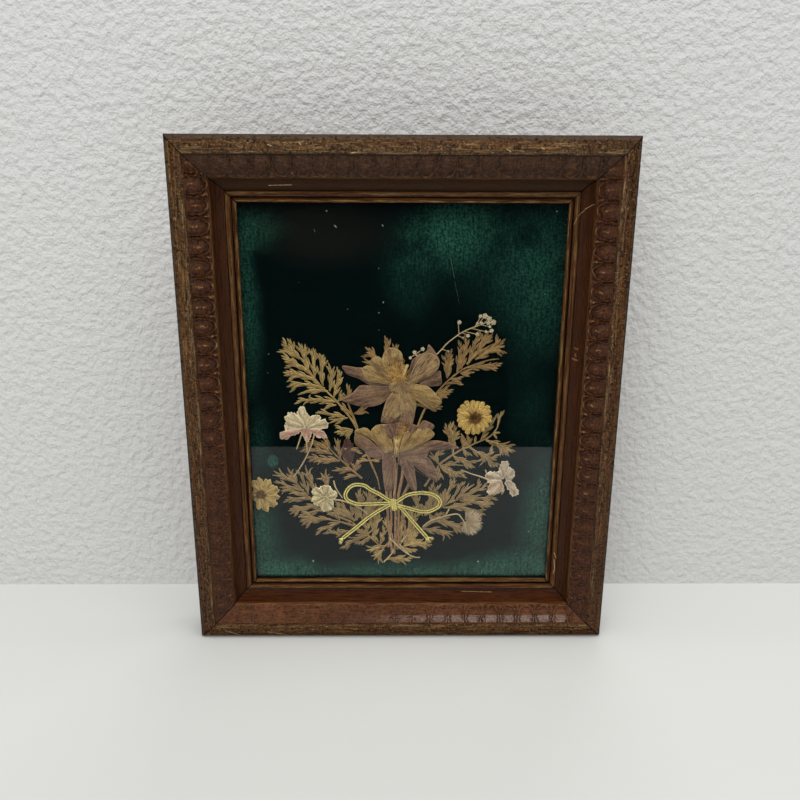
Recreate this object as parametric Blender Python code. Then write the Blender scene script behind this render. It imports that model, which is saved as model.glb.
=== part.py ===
"""Pressed flower frame: a mitred wooden moulding with a glass pane, and a posy of
pressed leaves and flowers tied with gold cord, laid on a velvet-covered board.

The frame stands upright on its bottom rail. X runs to the right, Y away from the
viewer and Z up; the origin is under the middle of the frame, on the floor.
Lengths below are millimetres; positions on the board are (x, z) pairs.
"""
import math

import bmesh
import bpy
from mathutils import Matrix, Vector
from mathutils.geometry import delaunay_2d_cdt

MM = 0.001

# ---------------------------------------------------------------- driving sizes
FRAME_WIDTH = 264.0
FRAME_HEIGHT = 315.0
FRAME_DEPTH = 29.0
MITRE_GAP = 0.3          # open joint between two rails
FIT_GAP = 0.3            # clearance between pieces that touch

LIP_REACH = 36.75        # outer side to the sight edge
LIP_FRONT = 11.6         # depth of the lip's face behind the front
LIP_THICK = 3.2
RABBET_WIDTH = 6.4
RABBET_PLAY = 0.4        # the pane is this much smaller than the rabbet, each side

GLASS_THICK = 2.0
POSY_SPACE = 5.1         # room for the pressed pieces, glass to velvet
BOARD_THICK = 2.7
BACKING_THICK = 2.0

SHEET_THICK = 0.3        # one pressed leaf or petal layer
LAYER_PITCH = 0.6        # a layer and the gap in front of it
LOBE_LEAN = math.radians(38)   # angle between a leaf's lobe and its rib
PATCH_RADIUS = 0.35      # patch where two lobes meet at a corner
PATCH_ROUNDS = 4

HANGER_THICK = 1.0
NAIL_HEAD = 0.8

# ------------------------------------------------------------ depths that follow
HANGER_STACK = FIT_GAP + HANGER_THICK + FIT_GAP + NAIL_HEAD
FRONT_Y = -(FRAME_DEPTH + HANGER_STACK) / 2
BACK_Y = FRONT_Y + FRAME_DEPTH
RABBET_Y = FRONT_Y + LIP_FRONT + LIP_THICK
GLASS_Y = RABBET_Y + FIT_GAP
POSY_Y = GLASS_Y + GLASS_THICK
VELVET_Y = POSY_Y + POSY_SPACE
BACKING_Y = VELVET_Y + BOARD_THICK + FIT_GAP
PANE_INSET = LIP_REACH - RABBET_WIDTH + RABBET_PLAY

# ------------------------------------------------------------------- materials
FINISHES = {
    "wood": ((0.10, 0.045, 0.025), 0.35, 0.0),
    "glass": ((0.9, 0.95, 0.93), 0.05, 0.0),
    "velvet": ((0.01, 0.045, 0.04), 0.9, 0.0),
    "fibreboard": ((0.30, 0.20, 0.11), 0.8, 0.0),
    "steel": ((0.55, 0.55, 0.55), 0.35, 1.0),
    "leaf": ((0.30, 0.21, 0.09), 0.7, 0.0),
    "stem": ((0.28, 0.18, 0.12), 0.7, 0.0),
    "petal_tan": ((0.45, 0.33, 0.15), 0.7, 0.0),
    "petal_mauve": ((0.16, 0.08, 0.09), 0.7, 0.0),
    "petal_yellow": ((0.60, 0.42, 0.16), 0.7, 0.0),
    "petal_cream": ((0.65, 0.56, 0.40), 0.7, 0.0),
    "gold_cord": ((0.62, 0.52, 0.20), 0.35, 0.8),
}


def finish(name):
    """Return the named material, making it on first use."""
    if name in bpy.data.materials:
        return bpy.data.materials[name]
    colour, roughness, metallic = FINISHES[name]
    material = bpy.data.materials.new(name)
    material.use_nodes = True
    shader = material.node_tree.nodes["Principled BSDF"]
    shader.inputs["Base Color"].default_value = (*colour, 1.0)
    shader.inputs["Roughness"].default_value = roughness
    shader.inputs["Metallic"].default_value = metallic
    if name == "glass":
        shader.inputs["Transmission Weight"].default_value = 1.0
        shader.inputs["IOR"].default_value = 1.5
    return material


def add_object(name, bm, material):
    """Turn a bmesh in millimetres into a named object in metres."""
    bmesh.ops.remove_doubles(bm, verts=bm.verts, dist=0.002)
    bmesh.ops.recalc_face_normals(bm, faces=bm.faces)
    bmesh.ops.scale(bm, vec=(MM, MM, MM), verts=bm.verts)
    mesh = bpy.data.meshes.new(name)
    bm.to_mesh(mesh)
    bm.free()
    mesh.materials.append(finish(material))
    obj = bpy.data.objects.new(name, mesh)
    bpy.context.collection.objects.link(obj)
    return obj


# ------------------------------------------------------------------- the moulding
SIDES = {                # side: its turn, its length, its distance from the centre
    "bottom": (0, FRAME_WIDTH, FRAME_HEIGHT / 2),
    "left": (90, FRAME_HEIGHT, FRAME_WIDTH / 2),
    "top": (180, FRAME_WIDTH, FRAME_HEIGHT / 2),
    "right": (270, FRAME_HEIGHT, FRAME_WIDTH / 2),
}


def arc(centre, radii, start, stop, steps):
    """Points of an elliptical arc, angles in degrees from +u towards +depth."""
    points = []
    for i in range(steps + 1):
        angle = math.radians(start + (stop - start) * i / steps)
        points.append((centre[0] + radii[0] * math.cos(angle),
                       centre[1] + radii[1] * math.sin(angle)))
    return points


def moulding_profile():
    """Section of a rail as (inward, depth) pairs, from the back's outer corner."""
    profile = [(0.0, FRAME_DEPTH)]
    profile += arc((3.3, 7.1), (3.3, 5.5), 180, 270, 4)          # rounded outer edge
    profile += [(6.6, 0.3), (9.6, 0.0), (10.6, 0.6)]             # worn band to its crest
    profile += [(11.2, 1.1), (17.0, 1.9), (22.6, 4.4), (23.4, 5.0)]   # embossed band
    profile += [(23.9, 6.3), (25.6, 9.4), (27.8, 11.8), (29.7, 13.0)]  # smooth cove
    profile += arc((31.8, 13.2), (1.9, 1.9), 190, 350, 6)        # bead
    profile += [(34.0, 13.3), (35.4, LIP_FRONT + 0.3)]           # step up to the lip
    profile += [(36.2, LIP_FRONT), (LIP_REACH, LIP_FRONT + 0.5)]
    profile += [(LIP_REACH, LIP_FRONT + LIP_THICK)]
    profile += [(LIP_REACH - RABBET_WIDTH, LIP_FRONT + LIP_THICK)]
    profile += [(LIP_REACH - RABBET_WIDTH, FRAME_DEPTH)]
    return profile


def make_rail(name, length, reach, turn):
    """Extrude the moulding along X, mitre both ends and turn it into place.

    reach is the distance from the frame's centre to the rail's outer side.
    """
    bm = bmesh.new()
    half = length / 2
    ring = [bm.verts.new((-half, FRONT_Y + depth, -reach + inward))
            for inward, depth in moulding_profile()]
    section = bm.faces.new(ring)
    grown = bmesh.ops.extrude_face_region(bm, geom=[section])
    moved = [v for v in grown["geom"] if isinstance(v, bmesh.types.BMVert)]
    bmesh.ops.translate(bm, verts=moved, vec=(length, 0, 0))
    for side in (-1, 1):
        normal = Vector((side, 0, 1)).normalized()
        corner = Vector((side * half, 0, -reach)) - normal * MITRE_GAP / 2
        everything = bm.verts[:] + bm.edges[:] + bm.faces[:]
        cut = bmesh.ops.bisect_plane(bm, geom=everything, plane_co=corner,
                                     plane_no=normal, clear_outer=True)
        rim = [e for e in cut["geom_cut"] if isinstance(e, bmesh.types.BMEdge)]
        bmesh.ops.edgenet_fill(bm, edges=rim)
    bmesh.ops.rotate(bm, verts=bm.verts, cent=(0, 0, 0),
                     matrix=Matrix.Rotation(math.radians(turn), 3, "Y"))
    bmesh.ops.translate(bm, verts=bm.verts, vec=(0, 0, FRAME_HEIGHT / 2))
    rail = add_object(name, bm, "wood")
    rail.data.shade_smooth()
    rail.data.set_sharp_from_angle(angle=math.radians(30))
    return rail


def make_frame():
    for side, (turn, length, reach) in SIDES.items():
        make_rail("rail_" + side, length, reach, turn)


# --------------------------------------------------- pane, board, backing, fixings
def make_sheet(name, inset, front_y, thickness, edge, material):
    """A flat rectangular sheet in the rabbet, with its edges eased by edge."""
    bm = bmesh.new()
    bmesh.ops.create_cube(bm, size=1.0)
    size = (FRAME_WIDTH - 2 * inset, thickness, FRAME_HEIGHT - 2 * inset)
    bmesh.ops.scale(bm, vec=size, verts=bm.verts)
    bmesh.ops.translate(bm, verts=bm.verts, vec=(0, front_y + thickness / 2, FRAME_HEIGHT / 2))
    bmesh.ops.bevel(bm, geom=bm.edges[:], offset=edge, segments=1, affect="EDGES")
    return add_object(name, bm, material)


def make_sheets():
    make_sheet("glass_pane", PANE_INSET, GLASS_Y, GLASS_THICK, 0.25, "glass")
    make_sheet("velvet_board", PANE_INSET, VELVET_Y, BOARD_THICK, 0.7, "velvet")
    make_sheet("backing_board", PANE_INSET, BACKING_Y, BACKING_THICK, 0.2, "fibreboard")


POINT_LENGTH = 9.0       # a glazier's point: a flat diamond of steel
POINT_WIDTH = 5.0
POINT_THICK = 0.5
POINT_SHARES = (-0.28, 0.28)   # places along a side, from its middle


def make_point(name, side, share):
    """One diamond point lying on the backing, its tip just short of the wood."""
    bm = bmesh.new()
    half_length = POINT_LENGTH / 2
    half_width = POINT_WIDTH / 2
    outline = [(-half_width, 0), (0, -half_length), (half_width, 0), (0, half_length)]
    turn, length, reach = SIDES[side]
    along = length * share
    out = -(reach - (LIP_REACH - RABBET_WIDTH)) + FIT_GAP + half_length
    front = BACKING_Y + BACKING_THICK + FIT_GAP
    ring = [bm.verts.new((along + x, front, out + z)) for x, z in outline]
    plate = bm.faces.new(ring)
    grown = bmesh.ops.extrude_face_region(bm, geom=[plate])
    moved = [v for v in grown["geom"] if isinstance(v, bmesh.types.BMVert)]
    bmesh.ops.translate(bm, verts=moved, vec=(0, POINT_THICK, 0))
    bmesh.ops.rotate(bm, verts=bm.verts, cent=(0, 0, 0),
                     matrix=Matrix.Rotation(math.radians(turn), 3, "Y"))
    bmesh.ops.translate(bm, verts=bm.verts, vec=(0, 0, FRAME_HEIGHT / 2))
    return add_object(name, bm, "steel")


def make_points():
    for side in SIDES:
        for number, share in enumerate(POINT_SHARES, start=1):
            make_point(f"point_{side}_{number}", side, share)


# ------------------------------------------------------ pressed pieces: outlines
def strip(path, start_width, end_width=None):
    """Outline of a band that follows path, its width changing along the way."""
    end_width = start_width if end_width is None else end_width
    left, right = [], []
    for i, point in enumerate(path):
        before = Vector(path[max(i - 1, 0)])
        after = Vector(path[min(i + 1, len(path) - 1)])
        along = (after - before).normalized()
        across = Vector((-along.y, along.x))
        share = i / (len(path) - 1)
        half = (start_width + (end_width - start_width) * share) / 2
        left.append(Vector(point) + across * half)
        right.append(Vector(point) - across * half)
    return left + right[::-1]


def blade(root, tip, width, blunt=0.3):
    """Outline of a lobe or petal: narrow root, widest past the middle, blunt tip."""
    root = Vector(root)
    tip = Vector(tip)
    along = tip - root
    across = Vector((-along.y, along.x)).normalized() * width / 2
    stations = ((0.0, 0.45), (0.3, 0.8), (0.62, 1.0), (0.9, 0.45 + blunt), (1.0, blunt))
    left = [root + along * share + across * spread for share, spread in stations]
    right = [root + along * share - across * spread for share, spread in stations]
    return left + right[::-1]


def lobe(root, tip, width):
    """Outline of a leaf's lobe, with fewer points than a petal."""
    root = Vector(root)
    tip = Vector(tip)
    along = tip - root
    across = Vector((-along.y, along.x)).normalized() * width / 2
    stations = ((0.0, 0.5), (0.66, 1.0), (1.0, 0.22))
    left = [root + along * share + across * spread for share, spread in stations]
    right = [root + along * share - across * spread for share, spread in stations]
    return left + right[::-1]


def disc(centre, radius, sides=8):
    """Outline of a small round piece."""
    return [Vector((centre[0] + radius * math.cos(math.tau * i / sides),
                    centre[1] + radius * math.sin(math.tau * i / sides)))
            for i in range(sides)]


def smooth_path(points, steps):
    """Catmull-Rom curve through points, with steps spans between each pair."""
    known = [Vector(p) for p in points]
    known = [2 * known[0] - known[1]] + known + [2 * known[-1] - known[-2]]
    path = []
    for a, b, c, d in zip(known, known[1:], known[2:], known[3:]):
        for i in range(steps):
            t = i / steps
            path.append(0.5 * (2 * b + (c - a) * t + (2 * a - 5 * b + 4 * c - d) * t ** 2
                               + (3 * b - a - 3 * c + d) * t ** 3))
    path.append(known[-2])
    return path


def lobe_root(rib, tip):
    """Where a lobe leaves the rib, so that it leans LOBE_LEAN away from it."""
    tip = Vector(tip)
    path = smooth_path(rib, 8)
    best, best_error = path[0], math.inf
    for here, beyond in zip(path, path[1:]):
        lean = (tip - here).angle(beyond - here, 0.0)
        error = abs(lean - LOBE_LEAN)
        if error < best_error:
            best, best_error = here, error
    return best


def covers(outline, place):
    """True if the place lies inside the outline."""
    inside = False
    for a, b in zip(outline, outline[1:] + outline[:1]):
        if (a.y > place.y) != (b.y > place.y):
            if place.x < a.x + (place.y - a.y) * (b.x - a.x) / (b.y - a.y):
                inside = not inside
    return inside


def layer_front(layer):
    """Depth of a layer's face towards the glass; layer 0 lies on the velvet."""
    return VELVET_Y - FIT_GAP - SHEET_THICK - LAYER_PITCH * layer


def flat_union(outlines):
    """Mesh of the area that the overlapping outlines cover, on the XZ plane."""
    outlines = [[Vector(p) for p in outline] for outline in outlines]
    corners, sides = [], []
    for outline in outlines:
        first = len(corners)
        count = len(outline)
        sides += [(first + i, first + (i + 1) % count) for i in range(count)]
        corners += outline
    flat = delaunay_2d_cdt(corners, sides, [], 0, 0.01, False)
    bm = bmesh.new()
    verts = [bm.verts.new((p.x, 0, p.y)) for p in flat[0]]
    for triangle in flat[2]:
        middle = sum((flat[0][i] for i in triangle), Vector((0, 0))) / 3
        if any(covers(outline, middle) for outline in outlines):
            bm.faces.new([verts[i] for i in triangle])
    loose = [v for v in bm.verts if not v.link_faces]
    bmesh.ops.delete(bm, geom=loose, context="VERTS")
    return bm


def pressed_plate(outlines, front, thickness):
    """Join overlapping flat outlines into one plate of the given thickness.

    Where two outlines meet only at a corner, a small patch joins them.
    """
    outlines = list(outlines)
    bm = flat_union(outlines)
    for _ in range(PATCH_ROUNDS):
        pinched = [v.co.xz for v in bm.verts if sum(e.is_boundary for e in v.link_edges) > 2]
        if not pinched:
            break
        outlines += [disc(place, PATCH_RADIUS, 6) for place in pinched]
        bm.free()
        bm = flat_union(outlines)
    bmesh.ops.translate(bm, verts=bm.verts, vec=(0, front, 0))
    bmesh.ops.dissolve_limit(bm, angle_limit=math.radians(2), verts=bm.verts, edges=bm.edges)
    grown = bmesh.ops.extrude_face_region(bm, geom=bm.faces[:])
    moved = [v for v in grown["geom"] if isinstance(v, bmesh.types.BMVert)]
    bmesh.ops.translate(bm, verts=moved, vec=(0, thickness, 0))
    return bm


def pressed(name, outlines, layer, material, thickness=SHEET_THICK):
    """A pressed piece of one layer."""
    bm = pressed_plate(outlines, layer_front(layer), thickness)
    return add_object(name, bm, material)


def merge(base, extra):
    """Join extra to base as one solid."""
    union = base.modifiers.new("join", "BOOLEAN")
    union.operation = "UNION"
    union.solver = "EXACT"
    union.object = extra
    extra.hide_render = True
    extra.display_type = "WIRE"
    return base


# ------------------------------------------------------------------------ leaves
# Each leaf: layer, its rib from the stalk to the tip, the tips of its lobes, lobe width.
LEAVES = {
    "leaf_upper_left": (0, [(-28.5, 137), (-34, 147), (-40.5, 156), (-46, 162.5),
                            (-55, 175), (-63, 185), (-70.5, 194)],
                        [(-65.5, 157), (-61.5, 153.5), (-65, 161), (-69.5, 168), (-70, 172),
                         (-72.5, 177), (-72, 180), (-74, 184.5), (-74.5, 190), (-73.5, 196),
                         (-70, 196), (-66, 196), (-61.5, 193.5), (-58.5, 191.5), (-55.5, 190),
                         (-53, 189.5), (-51.5, 187), (-47.5, 185), (-45, 182), (-42, 179),
                         (-38.5, 177), (-36, 172), (-53.5, 149.5), (-46, 142.5),
                         (-46.5, 141), (-41, 135)], 2.8),
    "leaf_inner_left": (1, [(-27.5, 139.5), (-30.5, 147), (-34.5, 155), (-32.5, 167)],
                        [(-19.5, 153), (-20.5, 148.5), (-13, 150), (-38, 154.5)], 2.6),
    "leaf_upper_right": (1, [(9.5, 138), (11.5, 145), (15, 153), (22, 163), (28, 169.5),
                             (35, 176.5), (43, 183), (51.5, 190), (60, 195)],
                         [(24.5, 182.5), (26, 186), (29, 190), (31.5, 187.5), (33.5, 193),
                          (36, 195), (39, 197), (41.5, 195), (44, 197.5), (47.5, 200),
                          (51, 198.5), (55.5, 198), (59, 198), (63, 195), (63, 191),
                          (62.5, 187.5), (59, 183), (61, 180.5), (59, 176.5), (44, 175.5),
                          (37.5, 169.5), (31.5, 163.5), (28.5, 165), (27, 160.5),
                          (25, 152), (9, 156), (8.5, 150)], 3.4),
    "leaf_top": (0, [(-5, 165.5), (-7, 175.5), (-8.5, 187), (-9.5, 196.5)],
                 [(-11, 196), (-6, 194), (-3, 194.5), (-0.5, 191.5), (-20.5, 191.5),
                  (-23, 188.5), (-24.5, 184.5), (-25.5, 181.5)], 3.2),
    "leaf_mid_left": (0, [(-25.5, 105), (-33, 112.5), (-40, 119), (-47, 127), (-53, 133.5)],
                      [(-60.5, 121), (-56.5, 116.5), (-64, 125), (-58, 130.5), (-45.5, 110.5),
                       (-44, 105.5), (-41.5, 132.5), (-45, 132.5), (-30.5, 114.5),
                       (-27.5, 114.5), (-21.5, 110)], 4.6),
    "leaf_lower_left": (1, [(-32.5, 75), (-42.5, 80), (-51.5, 85.5), (-58.5, 92), (-65, 99),
                            (-71.5, 107.5), (-78, 113)],
                        [(-82.5, 108.5), (-81, 101.5), (-77.5, 94), (-75.5, 90), (-72.5, 84),
                         (-70, 80.5), (-73.5, 113), (-69, 111.5), (-62, 115), (-57, 112)], 4.2),
    "leaf_low_left": (2, [(-28.5, 72.5), (-38, 76), (-46.5, 76.5), (-65, 76)],
                      [(-64, 79.5), (-61, 73), (-56, 67), (-49.5, 68), (-54.5, 82.5)], 4.0),
    "leaf_behind_white": (2, [(-44, 83), (-47.5, 93.5), (-49, 112.5)],
                          [(-53.5, 105.5), (-51, 109.5), (-45.5, 108), (-43, 105.5)], 3.0),
    "leaf_inner_low": (2, [(-30.5, 77), (-33.5, 81), (-36.5, 88.5)],
                       [(-31.5, 86.5), (-40.5, 85)], 2.6),
    "leaf_short_left": (2, [(-19, 70), (-26, 66), (-38, 55)],
                        [(-32.5, 63), (-23, 60), (-28.5, 58)], 3.0),
    "leaf_bottom_left": (0, [(-8.5, 57), (-14, 52), (-14.5, 44)],
                         [(-23.5, 56.5), (-21.5, 52), (-20, 47.5), (-17.5, 45.5),
                          (-11.5, 45.5)], 3.4),
    "leaf_bottom_right": (2, [(-5, 55.5), (4.5, 58.5), (19.5, 60.5)],
                          [(7, 68), (11, 66), (19, 57), (17, 54), (10, 52.5)], 2.8),
    "leaf_foot": (1, [(-12.5, 44), (-4.5, 48), (8, 48)],
                  [(4, 51), (5.5, 43.5), (-1.5, 42.5)], 3.0),
    "leaf_lower_right": (2, [(15, 80), (25, 84.5), (35, 90), (43, 95.5), (53, 105.5)],
                         [(31.5, 103.5), (35, 105.5), (39, 103.5), (43, 102), (47, 101.5),
                          (56.5, 100.5), (62, 93), (59.5, 88.5), (56.5, 84.5),
                          (53.5, 80)], 3.8),
    "leaf_low_right": (1, [(13, 69), (21, 75), (30, 76.5), (41.5, 70)],
                       [(27.5, 61), (32, 62.5), (35, 64.5), (35.5, 67.5), (40, 65.5),
                        (42.5, 75), (26.5, 82)], 3.4),
    "leaf_thin": (3, [(-22.5, 125.5), (-19.5, 116.5), (-16.5, 108.5), (-15, 98)],
                  [(-28.5, 117.5), (-24, 121), (-12.5, 120), (-19.5, 111),
                   (-12, 112), (-11.5, 106.5)], 1.8),
}
RIB_WIDTH = (1.6, 0.8)

# The leaf on the right is cut twice: its rib and each of its branches, with lobe tips.
RIGHT_BRANCHES = [
    ([(15, 99.5), (22, 113.5), (28, 118), (33, 121.5), (41.5, 126.5), (50, 129.5), (55, 133),
      (59, 138), (61.5, 144.5), (62.5, 150.5)],
     [(60, 148), (58.5, 143), (62.5, 135), (39, 130.5), (42.5, 119.5), (48, 133.5)]),
    ([(23.5, 114.5), (20, 121)], [(18, 123), (17.5, 119.5), (24.5, 124), (27.5, 124)]),
    ([(33, 121.5), (32.5, 129), (31, 136.5)],
     [(26.5, 140), (31, 142.5), (35, 139), (38, 135.5), (29, 133.5)]),
    ([(50, 129.5), (52, 136.5), (56, 141)], [(60, 146.5), (54.5, 144), (50.5, 136.5)]),
    ([(51, 130.5), (56, 129.5), (62, 127), (67.5, 124.5)],
     [(69, 130.5), (70.5, 125.5), (70.5, 122), (67, 120), (63, 119.5)]),
    ([(42.5, 125.5), (47.5, 123), (52, 119.5), (56.5, 116)],
     [(61.5, 125), (61, 119), (62.5, 114), (59, 113.5), (50, 113.5), (47, 116.5)]),
    ([(24, 114), (32.5, 113.5), (39, 112)], [(42, 118), (48, 115.5), (46, 110), (37.5, 118)]),
    ([(23.5, 113.5), (29.5, 109), (34.5, 106.5)],
     [(42, 106.5), (39, 104.5), (25.5, 103.5), (24, 105)]),
]
RIGHT_LOBE = 2.2


def leaf_branch(rib, tips, width):
    """Outlines of one rib with the lobes that grow from it."""
    outlines = [strip(smooth_path(rib, 2), *RIB_WIDTH)]
    return outlines + [lobe(lobe_root(rib, tip), tip, width) for tip in tips]


def make_leaves():
    for name, (layer, rib, tips, width) in LEAVES.items():
        pressed(name, leaf_branch(rib, tips, width), layer, "leaf")
    outlines = []
    for rib, tips in RIGHT_BRANCHES:
        outlines += leaf_branch(rib, tips, RIGHT_LOBE)
    pressed("leaf_right", outlines, 0, "leaf")


# ------------------------------------------------------------------------- stems
# The five stalks of the posy lie side by side under the knot.
STEMS = (
    [(-10.5, 116.5), (-9.8, 104.5), (-9.3, 90.5), (-10.5, 69), (-12, 56)],
    [(-7.2, 116.5), (-7, 104.5), (-7, 90.5), (-7.6, 69), (-8.5, 52)],
    [(-3.2, 116.5), (-3.8, 104.5), (-4.6, 90.5), (-4.6, 69), (-4.8, 47)],
    [(1.5, 115.5), (0, 104.5), (-2.2, 90.5), (-1.6, 69), (-1, 53)],
    [(8, 112.5), (4.6, 101.5), (0.2, 90.5), (2.2, 72.5), (3.6, 61.5)],
)
STEM_WIDTH = 2.0
STEM_LAYER = 3
WHITE_STALK = [(-47.5, 91), (-43, 91), (-36.5, 90), (-29.5, 86.5), (-23, 82)]


def make_stems():
    for number, route in enumerate(STEMS, start=1):
        pressed(f"stem_{number}", [strip(smooth_path(route, 2), STEM_WIDTH)],
                STEM_LAYER, "stem")


# ----------------------------------------------------------------------- flowers
FLOWER_LAYER = 4
PETAL_LIFT = 0.4         # upper petals stand this far in front of the lower ones
STAMEN_LIFT = 0.9

# Columbines: outlines of the pointed sepals, of the rounded petals that lie on them,
# and the place and radius of the bunch of stamens.
COLUMBINES = {
    "columbine_upper": {
        "sepals": [
            [(-36.5, 180.5), (-28, 179.5), (-16, 178), (-3, 168.5), (-14, 168), (-20.5, 168.5),
             (-26.5, 172), (-33, 174.5), (-35, 176.5)],
            [(-37.5, 158.5), (-33.5, 161), (-30.5, 163.5), (-27.5, 166.5), (-24.5, 168),
             (-10, 167.5), (-3, 167), (-10.5, 158), (-15.5, 155), (-24, 154), (-32, 156)],
            [(16, 194), (19, 191), (22.5, 185), (23, 182), (20.5, 176.5), (13.5, 171),
             (2.5, 168), (5, 180), (6.5, 184.5), (11.5, 188), (15, 190)],
            [(23, 177.5), (24, 174.5), (23.5, 168), (11, 168.5), (18, 174.5)],
            [(-3, 165), (-9, 160), (-13, 146), (-11, 143.5), (0, 143.5), (6, 141.5),
             (8.5, 152), (9, 157), (5, 164)],
        ],
        "petals": [
            [(-12, 182), (-11, 189), (-9.5, 190.5), (-7.5, 192), (-4.5, 191.5), (-2, 190.5),
             (0, 188), (0.5, 182), (1, 176), (-1, 169), (-5, 171)],
            [(-20, 182), (-19, 184.5), (-15.5, 186.5), (-13, 185.5), (-8, 178), (-3, 169.5),
             (-14, 175)],
            [(-24.5, 179), (-21, 180.5), (-14, 178), (-3, 169), (-16, 170), (-21, 171),
             (-24, 176)],
            [(-2, 166), (-8.5, 160), (-11, 152.5), (-11.5, 149), (-8.5, 145.5), (-6, 145),
             (-1, 146.5), (3, 150), (4.5, 158), (2, 164)],
            [(2, 166.5), (6, 169), (12, 168.5), (16, 167.5), (19.5, 164.5), (24.5, 158.5),
             (24, 156), (19.5, 153), (16.5, 153.5), (8, 159), (4, 163.5)],
        ],
        "stamens": ((-2.5, 176.5), 7.0),
    },
    "columbine_lower": {
        "sepals": [
            [(-29.5, 136), (-26, 135.5), (-21, 133), (-15, 127.5), (-5, 122.5), (-12, 119.5),
             (-20.5, 121), (-24, 125), (-29.5, 129.5)],
            [(36, 127), (29, 130.5), (20, 132), (12, 129.5), (1, 124), (-3, 121.5), (1, 118),
             (15, 120.5), (18, 125), (27, 125.5)],
            [(22.5, 103.5), (23, 107.5), (20.5, 115), (15, 121), (-1, 121), (-1, 115),
             (6.5, 115), (13.5, 110), (20, 105)],
            [(10, 138.5), (13, 145), (16.5, 144.5), (20.5, 141.5), (18, 138)],
            [(-12, 122), (-11, 100), (-5.5, 100), (-4, 122)],
            [(-1, 118), (6, 99), (9.5, 99), (6.5, 118)],
        ],
        "petals": [
            [(-29.5, 138.5), (-25.5, 140), (-23.5, 140.5), (-20, 138.5), (-10, 125),
             (-22, 134.5), (-28.5, 135.5)],
            [(-19.5, 138), (-17, 141.5), (-14.5, 142.5), (-9, 142.5), (-7.5, 138.5),
             (-5.5, 127), (-6.5, 124), (-10.5, 124), (-16, 129), (-18.5, 132.5)],
            [(-5.5, 133), (-4.5, 136), (-2.5, 137.5), (0, 136), (-1.5, 127.5), (-2, 122),
             (-4.5, 122)],
            [(1.5, 136.5), (7, 139), (13.5, 140), (17, 140), (20.5, 137), (19.5, 134.5),
             (14.5, 130.5), (7.5, 127), (1.5, 124.5), (-1.5, 124.5)],
        ],
        "stamens": ((-4.0, 123.5), 3.0),
    },
}
PINK_PETALS = [
    [(-73, 146), (-71.5, 149.5), (-65.5, 150), (-62, 154.5), (-58, 150.5), (-57.5, 146),
     (-62, 139.5), (-71, 139.5)],
    [(-57.5, 146), (-49.5, 147), (-45.5, 142.5), (-49, 139), (-62, 139), (-60, 143)],
    [(-64, 139.5), (-71, 138.5), (-77, 135), (-76.5, 133), (-70, 133.5), (-64, 138)],
    [(-64, 140), (-62, 133.5), (-59.5, 130.5), (-57.5, 134), (-57, 139.5)],
    [(-57, 139.5), (-49, 137.5), (-47, 133.5), (-54.5, 134.5)],
]
PINK_STALKS = [[(-55, 136.5), (-57, 128), (-62.5, 118.5), (-69, 107.5)],
               [(-62.5, 136.5), (-66.5, 126)], [(-59.5, 131.5), (-60, 124)]]
STALK_WIDTH = 1.2

DAISY_CENTRE = (45.5, 147.5)
DAISY_RADIUS = 11.8
DAISY_PETALS = 15
DAISY_EYE = 3.4

# Outlines of the flattened small flowers.
YELLOW_OUTLINE = [(-96, 104), (-93, 104), (-92, 107), (-90.5, 106.5), (-89.5, 101.5),
                  (-88.5, 104.5), (-83.5, 105), (-81.5, 99.5), (-78.5, 98.5), (-79, 93),
                  (-82, 92), (-80.5, 89), (-83, 85), (-84.5, 83.5), (-91, 83.5), (-94, 87.5),
                  (-93.5, 91), (-96, 91.5)]
YELLOW_EYE = ((-89.5, 95.5), 3.2)
WHITE_OUTLINE = [(-53.5, 98), (-55, 99.5), (-57.5, 98.5), (-55.5, 94), (-57, 90.5), (-54, 87.5),
                 (-51.5, 84.5), (-48.5, 84), (-46, 84.5), (-45, 86.5), (-47, 92.5),
                 (-42.5, 95), (-42.5, 97), (-45, 99.5), (-50, 100.5)]
WHITE_EYE = ((-49.5, 94), 1.6)
PALE_OUTLINE = [(53.5, 106), (54.5, 110), (63, 110.5), (63.5, 116.5), (66.5, 118), (68.5, 115),
                (71.5, 112), (72.5, 109), (70.5, 104.5), (73.5, 100.5), (75.5, 97.5),
                (71.5, 93.5), (69, 98), (67, 102), (65, 100), (64, 96.5), (58, 95),
                (55, 96.5), (56, 101.5)]
PALE_STALK = [(56, 106), (47, 109.5), (38, 112)]
TUFT_OUTLINE = [(38.5, 78), (41.5, 82), (45, 79.5), (48.5, 80.5), (51.5, 75.5),
                (50.5, 70.5), (46, 68), (41, 68), (38.5, 70.5)]
TUFT_STALK = [(15.5, 72.5), (22.5, 78), (35, 81.5), (40, 77)]
DARK_PETAL = ((-33, 116), (-34.5, 133.5), 7.5)


def raise_centre(flower, centre, radius, sides, lift, material):
    """Add a low round centre to a flower that lies in the flower layer."""
    front = layer_front(FLOWER_LAYER) - lift
    plate = pressed_plate([disc(centre, radius, sides)], front, lift + SHEET_THICK / 2)
    eye = add_object(flower.name + "_eye", plate, material)
    return merge(flower, eye)


def make_columbines():
    for name, shape in COLUMBINES.items():
        sepals = pressed(name, shape["sepals"], FLOWER_LAYER, "petal_mauve")
        front = layer_front(FLOWER_LAYER) - PETAL_LIFT
        plate = pressed_plate(shape["petals"], front, PETAL_LIFT + SHEET_THICK / 2)
        petals = add_object(name + "_petals", plate, "petal_tan")
        merge(sepals, petals)
        centre, radius = shape["stamens"]
        raise_centre(sepals, centre, radius, 12, STAMEN_LIFT, "petal_yellow")


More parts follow.
